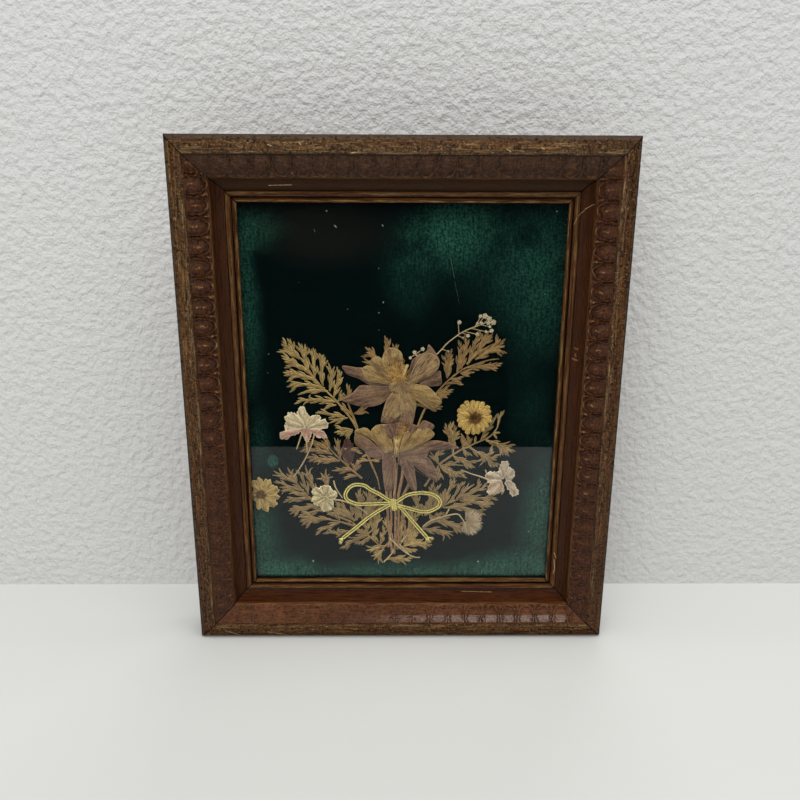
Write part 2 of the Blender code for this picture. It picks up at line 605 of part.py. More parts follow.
def make_daisy():
    """Scalloped disc whose rim follows one cosine per petal."""
    outline = []
    for i in range(DAISY_PETALS * 4):
        angle = math.tau * i / (DAISY_PETALS * 4)
        radius = DAISY_RADIUS * (0.92 + 0.08 * math.cos(DAISY_PETALS * angle))
        outline.append((DAISY_CENTRE[0] + radius * math.cos(angle),
                        DAISY_CENTRE[1] + radius * math.sin(angle)))
    daisy = pressed("daisy", [outline], FLOWER_LAYER, "petal_yellow")
    raise_centre(daisy, DAISY_CENTRE, DAISY_EYE, 10, PETAL_LIFT, "petal_yellow")


def make_small_flowers():
    pink = PINK_PETALS + [strip(stalk, STALK_WIDTH) for stalk in PINK_STALKS]
    pressed("flower_pink", pink, FLOWER_LAYER, "petal_cream")
    yellow = pressed("flower_yellow", [YELLOW_OUTLINE], FLOWER_LAYER, "petal_yellow")
    raise_centre(yellow, *YELLOW_EYE, 10, PETAL_LIFT, "petal_yellow")
    white = pressed("flower_white", [WHITE_OUTLINE], FLOWER_LAYER, "petal_cream")
    raise_centre(white, *WHITE_EYE, 8, PETAL_LIFT, "petal_cream")
    pressed("stalk_white", [strip(WHITE_STALK, STALK_WIDTH)], STEM_LAYER, "stem")
    pressed("flower_pale", [PALE_OUTLINE, strip(PALE_STALK, STALK_WIDTH)],
            FLOWER_LAYER, "petal_cream")
    pressed("flower_tuft", [TUFT_OUTLINE, strip(TUFT_STALK, STALK_WIDTH)],
            FLOWER_LAYER, "petal_cream")
    pressed("petal_dark", [blade(*DARK_PETAL)], 2, "petal_mauve")


# ------------------------------------------------------------------- white sprig
SPRIG_STEM = [(8, 187.5), (13.5, 185), (19, 189), (23.5, 193.5), (30.5, 198.5), (37, 202),
              (44, 206), (49.5, 207.5)]
SPRIG_TWIGS = [[(34.5, 201), (33.5, 207.5)], [(33.5, 200.5), (37.5, 198.5)],
               [(37.5, 202), (45, 200)], [(41.5, 204.5), (50.5, 202), (54, 202.5)],
               [(43.5, 205.5), (46.5, 211.5)], [(46, 206.5), (50, 212)],
               [(49.5, 207.5), (55.5, 208)], [(49, 207.5), (53, 209.5)],
               [(8, 187.5), (12.5, 191)], [(8, 187.5), (5, 186.5)]]
FLORETS = [((34.5, 208), 2), ((37.5, 198.5), 1.6), ((40.5, 200), 1.7), ((45.5, 200), 1.8),
           ((50.5, 202), 1.9), ((46.5, 211.5), 1.7), ((50, 212), 2.5), ((53, 209.5), 2.1),
           ((55.5, 208), 2.2), ((52, 207), 2.2), ((48.5, 207.5), 1.7), ((45.5, 206.5), 1.6),
           ((54, 202.5), 2.4), ((7, 189), 2.7), ((12.5, 191), 2.6), ((5, 186.5), 1.8)]
SPRIG_WIDTH = (1.5, 0.9)
TWIG_WIDTH = 0.7


def make_sprig():
    outlines = [strip(smooth_path(SPRIG_STEM, 2), *SPRIG_WIDTH)]
    outlines += [strip(twig, TWIG_WIDTH) for twig in SPRIG_TWIGS]
    outlines += [disc(centre, radius, 7) for centre, radius in FLORETS]
    pressed("sprig_white", outlines, STEM_LAYER, "petal_cream")


# ---------------------------------------------------------------------- gold bow
BOW_ROUTES = {
    "left_over": [(-5, 91), (-20.5, 99.5), (-30, 103.5), (-34.8, 100.5), (-35.6, 95)],
    "left_under": [(-5, 91), (-23, 89.7), (-32, 90.5), (-35.2, 93.5), (-35.6, 98)],
    "right_over": [(-5, 91), (4, 95.5), (15, 97), (22, 95.2), (24, 89.5)],
    "right_under": [(-5, 91), (4, 87.5), (14.5, 84.5), (21.5, 86.2), (24, 92)],
    "left_tail": [(-5, 91), (-20.5, 80), (-39, 63.5)],
    "right_tail": [(-5, 91), (5, 80), (17.5, 65)],
}
CORD_WIDTH = 2.6         # two strands side by side
BOW_FRONT = POSY_Y + FIT_GAP
BOW_THICK = 2.0
FRAY_LENGTH = 2.5
FRAY_WIDTH = 4.4
KNOT_BAND = [(-5, 95.5), (-4.6, 86)]
KNOT_WIDTH = 5.0


def make_bow():
    outlines = []
    for name, route in BOW_ROUTES.items():
        outlines.append(strip(smooth_path(route, 4), CORD_WIDTH))
        if name.endswith("tail"):
            end = Vector(route[-1])
            back = (Vector(route[-2]) - end).normalized() * FRAY_LENGTH
            outlines.append(strip([end + back, end], CORD_WIDTH, FRAY_WIDTH))
    outlines.append(strip(KNOT_BAND, KNOT_WIDTH))
    bm = pressed_plate(outlines, BOW_FRONT, BOW_THICK)
    add_object("gold_bow", bm, "gold_cord")


# -------------------------------------------------------------- sawtooth hanger
HANGER_LENGTH = 46.0
HANGER_HEIGHT = 11.0
HANGER_FRONT = BACK_Y + FIT_GAP
HANGER_TEETH = 9
HANGER_TOOTH = 1.8
HANGER_SLOT = 26.0
HANGER_Z = FRAME_HEIGHT - 15.0
NAIL_SPREAD = 17.5
NAIL_RADIUS = 2.2
NAIL_SHANK = 0.8
NAIL_SIDES = 12


def nail(name, x):
    """A flat-headed nail turned about its shank, which ends at the wood."""
    back = HANGER_FRONT + HANGER_THICK + FIT_GAP
    profile = [(0, HANGER_FRONT), (NAIL_SHANK, HANGER_FRONT), (NAIL_SHANK, back),
               (NAIL_RADIUS, back), (NAIL_RADIUS * 0.8, back + NAIL_HEAD),
               (0, back + NAIL_HEAD)]
    bm = bmesh.new()
    verts = [bm.verts.new((x + radius, y, HANGER_Z)) for radius, y in profile]
    edges = [bm.edges.new(pair) for pair in zip(verts, verts[1:])]
    bmesh.ops.spin(bm, geom=verts + edges, cent=(x, 0, HANGER_Z), axis=(0, 1, 0),
                   angle=math.tau, steps=NAIL_SIDES, use_merge=True)
    return add_object(name, bm, "steel")


def drill(plate, x):
    """Cut a nail hole through the plate."""
    bm = bmesh.new()
    bmesh.ops.create_cone(bm, cap_ends=True, segments=NAIL_SIDES, depth=HANGER_THICK * 4,
                          radius1=NAIL_SHANK + FIT_GAP, radius2=NAIL_SHANK + FIT_GAP)
    bmesh.ops.rotate(bm, verts=bm.verts, cent=(0, 0, 0),
                     matrix=Matrix.Rotation(math.radians(90), 3, "X"))
    bmesh.ops.translate(bm, verts=bm.verts, vec=(x, HANGER_FRONT, HANGER_Z))
    cutter = add_object(plate.name + "_hole", bm, "steel")
    cutter.hide_render = True
    cutter.display_type = "WIRE"
    hole = plate.modifiers.new("nail hole", "BOOLEAN")
    hole.operation = "DIFFERENCE"
    hole.solver = "EXACT"
    hole.object = cutter


def make_hanger():
    """Stamped strip on the back of the top rail with a row of teeth in its foot."""
    half = HANGER_LENGTH / 2
    top = HANGER_Z + HANGER_HEIGHT / 2
    low = HANGER_Z - HANGER_HEIGHT / 2
    tooth_line = low + 4.5
    outline = [(-half + 3, top), (-half, HANGER_Z), (-half + 3, low), (-HANGER_SLOT / 2, low)]
    for i in range(HANGER_TEETH):
        start = -HANGER_SLOT / 2 + HANGER_SLOT * i / HANGER_TEETH
        outline += [(start, tooth_line - HANGER_TOOTH),
                    (start + HANGER_SLOT / HANGER_TEETH / 2, tooth_line)]
    outline += [(HANGER_SLOT / 2, tooth_line - HANGER_TOOTH), (HANGER_SLOT / 2, low),
                (half - 3, low), (half, HANGER_Z), (half - 3, top)]
    plate = add_object("hanger", pressed_plate([outline], HANGER_FRONT, HANGER_THICK), "steel")
    for number, side in enumerate((-1, 1), start=1):
        drill(plate, side * NAIL_SPREAD)
        nail(f"hanger_nail_{number}", side * NAIL_SPREAD)


def main():
    for obj in list(bpy.data.objects):
        bpy.data.objects.remove(obj, do_unlink=True)
    make_frame()
    make_sheets()
    make_points()
    make_leaves()
    make_stems()
    make_columbines()
    make_daisy()
    make_small_flowers()
    make_sprig()
    make_bow()
    make_hanger()


main()
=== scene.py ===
import bmesh
import bpy
import math
import random
from mathutils import Matrix, Vector, noise
from mathutils.geometry import delaunay_2d_cdt


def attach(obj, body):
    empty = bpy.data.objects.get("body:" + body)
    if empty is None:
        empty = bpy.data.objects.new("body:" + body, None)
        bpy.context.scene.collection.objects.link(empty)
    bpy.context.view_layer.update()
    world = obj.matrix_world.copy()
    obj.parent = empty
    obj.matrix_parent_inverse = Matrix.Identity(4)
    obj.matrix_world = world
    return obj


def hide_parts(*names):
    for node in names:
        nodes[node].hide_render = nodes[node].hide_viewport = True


# The pressed flower frame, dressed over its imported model. Lengths in the dictionaries are
# millimetres, and places under the glass are (x, z) pairs seen from the front.
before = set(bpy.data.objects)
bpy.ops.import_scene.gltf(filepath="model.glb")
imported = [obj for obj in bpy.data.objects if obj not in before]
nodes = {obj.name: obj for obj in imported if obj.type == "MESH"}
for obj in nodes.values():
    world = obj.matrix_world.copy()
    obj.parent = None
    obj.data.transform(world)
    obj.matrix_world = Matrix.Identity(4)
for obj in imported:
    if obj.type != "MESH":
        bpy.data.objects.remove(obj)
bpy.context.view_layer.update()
mm = 0.001


def deselectAll():
    if bpy.context.object and bpy.context.object.mode != "OBJECT":
        bpy.ops.object.mode_set(mode="OBJECT")
    bpy.ops.object.select_all(action="DESELECT")


def settle(piece, nodeName):
    # ties a finished piece to the frame and to the node that it stands for
    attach(piece, "root")
    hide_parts(nodeName)


def linkObject(name, data):
    item = bpy.data.objects.new(name, data)
    bpy.context.collection.objects.link(item)
    return item


def meshPiece(name, bm, *materials):
    # a mesh built in millimetres becomes an object in metres, with its place in the mesh
    bmesh.ops.recalc_face_normals(bm, faces=bm.faces)
    bmesh.ops.scale(bm, vec=(mm, mm, mm), verts=bm.verts)
    mesh = bpy.data.meshes.new(name)
    bm.to_mesh(mesh)
    bm.free()
    mesh.shade_smooth()
    for material in materials:
        mesh.materials.append(material)
    return linkObject(name, mesh)


# the photograph's own view
cameraView = {"place": (-6.2, -473.2, 304.3), "yaw": 0.60, "pitch": 17.02, "roll": 0.24,
              "lens": 36.045, "sensor": 36.0}


def makeCamera():
    yaw, pitch, roll = (math.radians(cameraView[k]) for k in ("yaw", "pitch", "roll"))
    ahead = Vector((math.sin(yaw) * math.cos(pitch), math.cos(yaw) * math.cos(pitch),
                    -math.sin(pitch)))
    right = ahead.cross(Vector((0, 0, 1))).normalized()
    up = right.cross(ahead)
    turnedRight = math.cos(roll) * right + math.sin(roll) * up
    turnedUp = math.cos(roll) * up - math.sin(roll) * right
    stand = Matrix((turnedRight, turnedUp, -ahead)).transposed().to_4x4()
    stand.translation = Vector(cameraView["place"]) * mm
    data = bpy.data.cameras.new("photoCamera")
    data.sensor_width = cameraView["sensor"]
    data.lens = cameraView["lens"]
    camera = linkObject("photoCamera", data)
    camera.matrix_world = stand
    bpy.context.scene.camera = camera


# node helpers: each adds to the tree in use, that of the last material or group begun
inUse = {"tree": None}


def newMaterial(name):
    material = bpy.data.materials.new(name)
    material.use_nodes = True
    inUse["tree"] = material.node_tree
    return material, material.node_tree.nodes["Principled BSDF"]


def plugAll(node, sockets):
    # each socket takes a link from another node, or a plain value
    for key, value in sockets.items():
        if isinstance(value, bpy.types.NodeSocket):
            inUse["tree"].links.new(value, node.inputs[key])
        else:
            node.inputs[key].default_value = value


def addNode(kind, sockets=None, **settings):
    node = inUse["tree"].nodes.new(kind)
    for key, value in settings.items():
        setattr(node, key, value)
    plugAll(node, sockets or {})
    return node


def mathNode(operation, *values, clamp=False):
    node = addNode("ShaderNodeMath", dict(enumerate(values)), operation=operation,
                   use_clamp=clamp)
    return node.outputs[0]


def scaled(value, factor, shift, clamp=False):
    return mathNode("MULTIPLY_ADD", value, factor, shift, clamp=clamp)


def chained(operation, masks, clamp=False):
    total = masks[0]
    for mask in masks[1:]:
        total = mathNode(operation, total, mask, clamp=clamp)
    return total


def times(*masks):
    return chained("MULTIPLY", masks)


def most(*masks):
    return chained("MAXIMUM", masks)


def either(*masks):
    return chained("ADD", masks, clamp=True)


def vectorNode(operation, sockets, output=0):
    return addNode("ShaderNodeVectorMath", sockets, operation=operation).outputs[output]


def splitVector(vector):
    return tuple(addNode("ShaderNodeSeparateXYZ", {"Vector": vector}).outputs)


def attribute(name, output="Vector"):
    return addNode("ShaderNodeAttribute", attribute_name=name).outputs[output]


def objectPlace():
    return addNode("ShaderNodeTexCoord").outputs["Object"]


def mixColour(share, first, second):
    return addNode("ShaderNodeMix", {0: share, 6: first, 7: second}, data_type="RGBA").outputs[2]


def rangeNode(value, low, high, newLow=0.0, newHigh=1.0):
    return addNode("ShaderNodeMapRange", {"Value": value, "From Min": low, "From Max": high,
                   "To Min": newLow, "To Max": newHigh},
                   interpolation_type="SMOOTHSTEP").outputs[0]


def bandMask(value, low, high, soft):
    # 1 where value lies between low and high, with soft edges
    return times(rangeNode(value, low - soft, low + soft),
                 rangeNode(value, high - soft, high + soft, 1.0, 0.0))


def tint(red, green, blue):
    # an sRGB colour as seen on a screen, 0 to 255, for a shader
    linear = []
    for value in (red, green, blue):
        share = value / 255
        linear.append(share / 12.92 if share <= 0.04045 else ((share + 0.055) / 1.055) ** 2.4)
    return (*linear, 1.0)


def tints(colours):
    return {name: tint(*colour) for name, colour in colours.items()}


def newGroup(name, inputs, outputs):
    group = bpy.data.node_groups.new(name, "ShaderNodeTree")
    inUse["tree"] = group
    for title, value in inputs.items():
        kind = "NodeSocketVector" if isinstance(value, tuple) else "NodeSocketFloat"
        socket = group.interface.new_socket(title, in_out="INPUT", socket_type=kind)
        socket.default_value = value
    for title in outputs:
        group.interface.new_socket(title, in_out="OUTPUT", socket_type="NodeSocketFloat")
    return group, addNode("NodeGroupInput").outputs, addNode("NodeGroupOutput")


def buildMottle():
    # blotches: a mask from noise, cut between two levels
    group, given, sink = newGroup("mottle", {"Vector": (0.0, 0.0, 0.0), "Scale": 50.0,
                                  "Detail": 4.0, "Rough": 0.6, "Low": 0.4, "High": 0.6},
                                  ("Mask", "Height"))
    cloud = addNode("ShaderNodeTexNoise", {"Vector": given["Vector"], "Scale": given["Scale"],
                    "Detail": given["Detail"], "Roughness": given["Rough"]}).outputs[0]
    plugAll(sink, {"Mask": rangeNode(cloud, given["Low"], given["High"]), "Height": cloud})
    return group


def buildFibres():
    # long streaks along X of the given vector, as in wood grain or a stalk
    group, given, sink = newGroup("fibres", {"Vector": (0.0, 0.0, 0.0),
                                  "Stretch": (0.1, 1.0, 1.0), "Low": 0.35, "High": 0.65},
                                  ("Mask", "Height"))
    lay = addNode("ShaderNodeMapping", {"Vector": given["Vector"], "Scale": given["Stretch"]})
    streaks = addNode("ShaderNodeTexNoise", {"Vector": lay.outputs[0], "Scale": 1.0,
                                             "Detail": 5.0, "Roughness": 0.65}).outputs[0]
    plugAll(sink, {"Mask": rangeNode(streaks, given["Low"], given["High"]), "Height": streaks})
    return group


def buildSpecks():
    # scattered dust: round specks, more or fewer by Share
    group, given, sink = newGroup("specks", {"Vector": (0.0, 0.0, 0.0), "Scale": 300.0,
                                  "Size": 0.15, "Share": 0.1}, ("Mask",))
    cells = addNode("ShaderNodeTexVoronoi", {"Vector": given["Vector"],
                                             "Scale": given["Scale"]}).outputs
    spot = mathNode("LESS_THAN", cells["Distance"], given["Size"])
    picked = addNode("ShaderNodeSeparateColor", {"Color": cells["Color"]}).outputs[0]
    few = mathNode("LESS_THAN", picked, given["Share"])
    plugAll(sink, {"Mask": times(spot, few)})
    return group


def buildStrokes():
    # a scratch or a mark from Start to End on the front, both as places in metres
    group, given, sink = newGroup("strokes", {"Vector": (0.0, 0.0, 0.0),
                                  "Start": (0.0, 0.0, 0.0), "End": (0.01, 0.0, 0.0),
                                  "Width": 0.0005}, ("Mask",))
    flat = vectorNode("MULTIPLY", {0: given["Vector"], 1: (1.0, 0.0, 1.0)})
    fromStart = vectorNode("SUBTRACT", {0: flat, 1: given["Start"]})
    whole = vectorNode("SUBTRACT", {0: given["End"], 1: given["Start"]})
    along = mathNode("DIVIDE", vectorNode("DOT_PRODUCT", {0: fromStart, 1: whole}, "Value"),
                     vectorNode("DOT_PRODUCT", {0: whole, 1: whole}, "Value"), clamp=True)
    near = vectorNode("SCALE", {0: whole, "Scale": along})
    gap = vectorNode("DISTANCE", {0: fromStart, 1: near}, "Value")
    wobble = addNode("ShaderNodeTexNoise", {"Vector": given["Vector"], "Scale": 900.0,
                                            "Detail": 2.0}).outputs[0]
    gap = scaled(wobble, times(given["Width"], 1.2), gap)
    share = mathNode("DIVIDE", gap, given["Width"])
    plugAll(sink, {"Mask": rangeNode(share, 0.7, 1.2, 1.0, 0.0)})
    return group


mottle = buildMottle()
fibres = buildFibres()
specks = buildSpecks()
strokes = buildStrokes()


def useGroup(group, **sockets):
    # a group's outputs: its mask, and its height where it has one
    return tuple(addNode("ShaderNodeGroup", sockets, node_tree=group).outputs)


def mottled(place, scale, low, high, detail=4.0, rough=0.6):
    return useGroup(mottle, Vector=place, Scale=scale, Detail=detail, Rough=rough, Low=low,
                    High=high)


def streaked(vector, stretch, low=0.35, high=0.65):
    return useGroup(fibres, Vector=vector, Stretch=stretch, Low=low, High=high)


def addMarks(place, marks):
    # every mark as (x, z) to (x, z) and a half width, all in millimetres
    masks = []
    for (x0, z0), (x1, z1), width in marks:
        masks += useGroup(strokes, Vector=place, Start=(x0 * mm, 0, z0 * mm),
                          End=((x1 + 0.01) * mm, 0, z1 * mm), Width=width * mm)
    return most(*masks)


def addBumps(shader, *bumps):
    # each bump is a height, a strength and a distance, laid over the one before
    normal = None
    for height, strength, distance in bumps:
        sockets = {"Height": height, "Strength": strength, "Distance": distance}
        if normal is not None:
            sockets["Normal"] = normal
        normal = addNode("ShaderNodeBump", sockets).outputs[0]
    plugAll(shader, {"Normal": normal})


# a pale table and wall, and soft lights
stageLook = {"floor": tint(212, 212, 207), "wall": tint(216, 216, 214), "wallY": 55.0,
             "reach": 1500.0, "floorRough": 0.6, "wallRough": 0.8, "tableEdge": -345.0,
             "cardShade": tint(138, 140, 139), "cardHigh": 0.4, "cardBack": -20.0,
             "plaster": 205.0, "plasterBump": (0.8, 0.003),
             "sky": tint(205, 206, 208), "skyInGlass": tint(42, 44, 46), "skyPower": 0.5}
softboxes = {  # place, aim and size in metres, power, and whether only reflections show it
    "ceiling": ((0.1, -0.5, 1.9), (0, 0, 0.1), (2.4, 1.6), 35, False),
    "front": ((-0.5, -2.0, 1.3), (0, 0, 0.15), (1.6, 1.2), 14, False),
    "rear": ((0.4, 1.8, 1.2), (0, 0, 0.15), (1.4, 1.2), 11, False),
    "leftGlint": ((-0.5, -1.5, 0.26), (0, 0, 0.15), (0.22, 0.05), 1.4, True),
    "rightGlint": ((0.5, -1.5, 0.26), (0, 0, 0.15), (0.22, 0.05), 1.4, True),
    "window": ((0.38, -1.9, 0.62), (0, 0, 0.1), (0.2, 0.24), 1.8, True)}


def stagePlane(name, corners, material):
    mesh = bpy.data.meshes.new(name)
    mesh.from_pydata([Vector(c) * mm for c in corners], [], [(0, 1, 2, 3)])
    mesh.materials.append(material)
    plane = linkObject(name, mesh)
    return plane


def onlyFor(plane, camera=False, glossy=False, transmission=False):
    plane.visible_camera = camera
    plane.visible_diffuse = False
    plane.visible_glossy = glossy
    plane.visible_transmission = transmission
    plane.visible_shadow = False


def makeStage():
    reach, wallY, edge = stageLook["reach"], stageLook["wallY"], stageLook["tableEdge"]
    floorLook, shader = newMaterial("paleTable")
    plugAll(shader, {"Base Color": stageLook["floor"], "Roughness": stageLook["floorRough"]})
    floor = stagePlane("tableTop", [(-reach, -reach, 0), (reach, -reach, 0), (reach, reach, 0),
                                    (-reach, reach, 0)], floorLook)
    floor.visible_glossy = False
    floor.visible_transmission = False
    wallPaint, shader = newMaterial("paleWall")
    plugAll(shader, {"Base Color": stageLook["wall"], "Roughness": stageLook["wallRough"]})
    plaster = mottled(objectPlace(), stageLook["plaster"], 0.4, 0.6, detail=2.0)[1]
    addBumps(shader, (plaster, *stageLook["plasterBump"]))
    mixer = addNode("ShaderNodeMixShader", {  # the wall isn't seen from behind
        0: addNode("ShaderNodeNewGeometry").outputs["Backfacing"], 1: shader.outputs[0],
        2: addNode("ShaderNodeBsdfTransparent").outputs[0]})
    plugAll(wallPaint.node_tree.nodes["Material Output"], {"Surface": mixer.outputs[0]})
    wall = stagePlane("wall", [(-reach, wallY, -1), (reach, wallY, -1), (reach, wallY, reach),
                               (-reach, wallY, reach)], wallPaint)
    onlyFor(wall, camera=True, transmission=True)
    # the table as the glass shows it: a glowing card, seen only in reflections and through the
    # pane, standing in for the lit table
    card, shader = newMaterial("tableCard")
    plugAll(shader, {"Base Color": (0, 0, 0, 1), "Emission Color": stageLook["cardShade"],
                     "Emission Strength": 1.0})
    high, back = stageLook["cardHigh"], stageLook["cardBack"]
    table = stagePlane("tableInGlass", [(-reach, edge, high), (reach, edge, high),
                                        (reach, back, high), (-reach, back, high)], card)
    onlyFor(table, glossy=True, transmission=True)


def makeLights():
    world = bpy.data.worlds.new("room")
    bpy.context.scene.world = world
    world.use_nodes = True
    inUse["tree"] = world.node_tree
    rays = addNode("ShaderNodeLightPath").outputs
    shade = mixColour(rays["Is Glossy Ray"], stageLook["sky"], stageLook["skyInGlass"])
    plugAll(world.node_tree.nodes["Background"], {"Color": shade,
                                                  "Strength": stageLook["skyPower"]})
    for name, (place, aim, size, power, glossy) in softboxes.items():
        data = bpy.data.lights.new(name, "AREA")
        data.shape = "RECTANGLE"
        data.size, data.size_y = size
        data.energy = power
        lamp = linkObject(name, data)
        lamp.location = place
        lamp.rotation_euler = (Vector(aim) - Vector(place)).to_track_quat("-Z", "Y").to_euler()
        lamp.visible_glossy = glossy
        lamp.visible_diffuse = not glossy
    bpy.context.scene.view_settings.view_transform = "Standard"


makeCamera()
makeStage()
makeLights()
print("stage set")


# the moulding's sizes, across its face (u) and into its depth (d), and its four rails
moulding = {"height": 315.0, "front": -15.7, "gap": 0.15, "step": 0.46, "bandStep": 0.36,
            "plainStep": 0.9, "backStep": 3.0, "period": 11.45, "widest": 15.5,
            "egg": (4.2, 6.1), "rim": (5.0, 7.0), "dome": 0.6, "rimHigh": 0.9, "sunk": 0.45,
            "dart": 0.7, "bead": 1.0, "dartFrom": 17.5, "beadAt": 20.9, "footAt": 22.6,
            "eggBack": 9.0, "band": (11.1, 23.3), "outer": (0.4, 10.2), "fine": (11.0, 23.0),
            "sideFrom": 10.0, "backFrom": 14.0, "carvedTo": 14.5, "mitreFade": 1.5,
            "flush": (0.6, 0.3), "smooth": 48}
rails = {"rail_bottom": {"turn": 0, "length": 264.0, "reach": 157.5, "middle": 58.8,
                         "dull": 0.1, "gilt": 0.8, "keel": (15.0, 2.5, 0.0)},
         "rail_left": {"turn": 90, "length": 315.0, "reach": 132.0, "middle": -107.8,
                       "dull": 0.3, "gilt": 0.46, "keel": (15.0, 3.4, 1.0)},
         "rail_top": {"turn": 180, "length": 264.0, "reach": 157.5, "middle": -58.8,
                      "dull": 0.8, "gilt": 0.5, "keel": (13.0, 1.2, 0.6)},
         "rail_right": {"turn": 270, "length": 315.0, "reach": 132.0, "middle": 94.1,
                        "dull": 0.3, "gilt": 0.44, "keel": (17.4, 2.2, 1.1)}}


def arcPoints(centre, radii, start, stop, steps):
    points = []
    for step in range(steps + 1):
        angle = math.radians(start + (stop - start) * step / steps)
        points.append((centre[0] + radii[0] * math.cos(angle),
                       centre[1] + radii[1] * math.sin(angle)))
    return points


def sectionRows():
    # the moulding's section from its outer back corner, round the front and back again
    corners = [(0.0, 29.0)] + arcPoints((3.3, 7.1), (3.3, 5.5), 180, 270, 7)
    corners += [(5.2, 0.85), (6.6, 0.35), (8.2, 0.08), (9.6, 0.0), (10.2, 0.15), (10.6, 0.7)]
    corners += [(10.9, 1.1), (11.3, 1.1), (17.0, 1.9), (22.6, 4.4), (23.2, 4.75), (23.5, 5.3)]
    corners += [(23.9, 6.3), (24.6, 7.8), (25.6, 9.4), (26.6, 10.7), (27.8, 11.8), (28.8, 12.5)]
    corners += [(29.7, 13.0)] + arcPoints((31.8, 13.2), (1.9, 1.9), 190, 350, 10)
    corners += [(34.0, 13.4), (34.6, 13.1), (35.3, 12.1), (35.8, 11.7), (36.3, 11.65)]
    corners += [(36.75, 12.1), (36.75, 14.8), (30.35, 14.8), (30.35, 29.0), (0.0, 29.0)]
    rows = []
    for (u0, d0), (u1, d1) in zip(corners, corners[1:]):
        inBand = moulding["fine"][0] < u0 < moulding["fine"][1]
        hidden = d0 > moulding["backFrom"] or (u0 == 0.0 and d0 > moulding["sideFrom"])
        step = moulding["bandStep"] if inBand else moulding["plainStep"]
        step = moulding["backStep"] if hidden else step
        count = max(1, round(math.hypot(u1 - u0, d1 - d0) / step))
        rows += [(u0 + (u1 - u0) * k / count, d0 + (d1 - d0) * k / count) for k in range(count)]
    rows.append(corners[-1])
    return rows


def swell(value, width):
    return math.exp(-(value / width) ** 2)


def clamped(value):
    return min(1.0, max(0.0, value))


def ornament(along, inward, middle, keel):
    # pressed egg-and-dart: an egg with a raised keel, the thin arch round it, darts between
    shape = moulding
    warp = Vector((along * 0.4, inward * 0.4, middle))
    along += 0.9 * noise.noise(warp)
    inward += 0.7 * noise.noise(warp + Vector((7, 3, 1)))
    q = (along - middle) / shape["period"]
    q = abs(q - round(q)) * shape["period"]
    side = shape["period"] / 2 - q
    back = (shape["widest"] - inward) / shape["eggBack"]
    egg = (inward - shape["widest"]) / shape["egg"][1] if back < 0 else back
    arch = (inward - shape["widest"]) / shape["rim"][1] if back < 0 else back
    far = math.hypot(q / shape["egg"][0], egg)
    height = -shape["sunk"] + shape["dome"] * math.sqrt(max(0.0, 1 - far * far))
    ridge = swell(q + 0.5 * noise.noise(warp * 3.0), 0.5) * swell(inward - keel[0], keel[1])
    height += keel[2] * ridge * (0.6 + 1.3 * noise.noise(warp * 2.6))
    far = math.hypot(q / shape["rim"][0], arch)
    height += shape["rimHigh"] * swell((1 - far) * shape["rim"][0], 0.33)
    if inward > shape["dartFrom"]:  # the darts, and the bead between their feet
        height += shape["dart"] * swell(side, 0.32 + 0.12 * (inward - shape["dartFrom"]))
        beadHigh = shape["bead"] * min(1.0, keel[2]) * (0.7 + 1.1 * noise.noise(warp * 2.1))
        height += beadHigh * swell(side, 0.8) * swell(inward - shape["beadAt"], 0.8)
        height += shape["sunk"] * swell(inward - shape["footAt"], 0.5)
    else:
        height -= 0.2 * swell(side, 0.4)
    return height


pressMarks = {  # slanting marks: between which heights, their depth, slant and pitch
    "rail_right": (18, 98, 0.10, 0.7, 1.6), "rail_left": (0, 150, 0.06, -0.5, 1.9)}


def strengthOf(name, x, z):
    # how deep the ornament still stands at each place; wear and the press left it uneven
    if name == "rail_top":
        return 0.46 + 0.12 * math.sin(x * 0.07)
    low, more, share = {"rail_right": (0.5, 0.34, (z - 70) / 60),
                        "rail_left": (0.42, 0.5, (z - 110) / 60),
                        "rail_bottom": (0.3, 0.35, (x + 10) / 70)}[name]
    return low + more * clamped(share)


def reliefAt(name, along, inward, x, z, middle):
    spot = Vector((x, inward * 1.7, z))
    height = 0.05 * noise.noise(spot * 0.9) + 0.08 * noise.noise(spot * 0.35)
    start, stop = moulding["band"]
    if start < inward < stop:
        edge = min(1.0, (inward - start) / 0.5, (stop - inward) / 0.5)
        strength = strengthOf(name, x, z)
        height += strength * edge * ornament(along, inward, middle, rails[name]["keel"])
        rough = 0.18 * noise.noise(spot * 1.3) + 0.18 * noise.noise(spot * 0.6)
        height += (rough + 0.08 * noise.noise(spot * 2.3)) * edge
        low, high, deep, slant, pitch = pressMarks.get(name, (0, 0, 0, 0, 1))
        if low < z < high:
            height += deep * edge * math.sin((along + slant * inward) * math.tau / pitch)
    elif moulding["outer"][0] < inward < moulding["outer"][1]:
        height += 0.07 * noise.noise(Vector((along * 0.12, inward * 1.1, len(name))))
        chip = noise.noise(Vector((along * 0.22, inward * 0.3, 9.0 + len(name))))
        height -= max(0.0, chip - 0.42) * 0.9
    return height


def closeEnds():
    # edit mode: joins the grid's meeting edges, fills its two ends and turns faces outward
    bpy.ops.object.mode_set(mode="EDIT")
    bpy.ops.mesh.select_all(action="SELECT")
    bpy.ops.mesh.remove_doubles(threshold=0.000001)
    bpy.ops.mesh.select_all(action="DESELECT")
    bpy.ops.mesh.select_mode(type="EDGE")
    bpy.ops.mesh.select_non_manifold(extend=False)
    bpy.ops.mesh.fill_holes(sides=0)
    bpy.ops.mesh.select_all(action="SELECT")
    bpy.ops.mesh.normals_make_consistent(inside=False)
    bpy.ops.object.mode_set(mode="OBJECT")


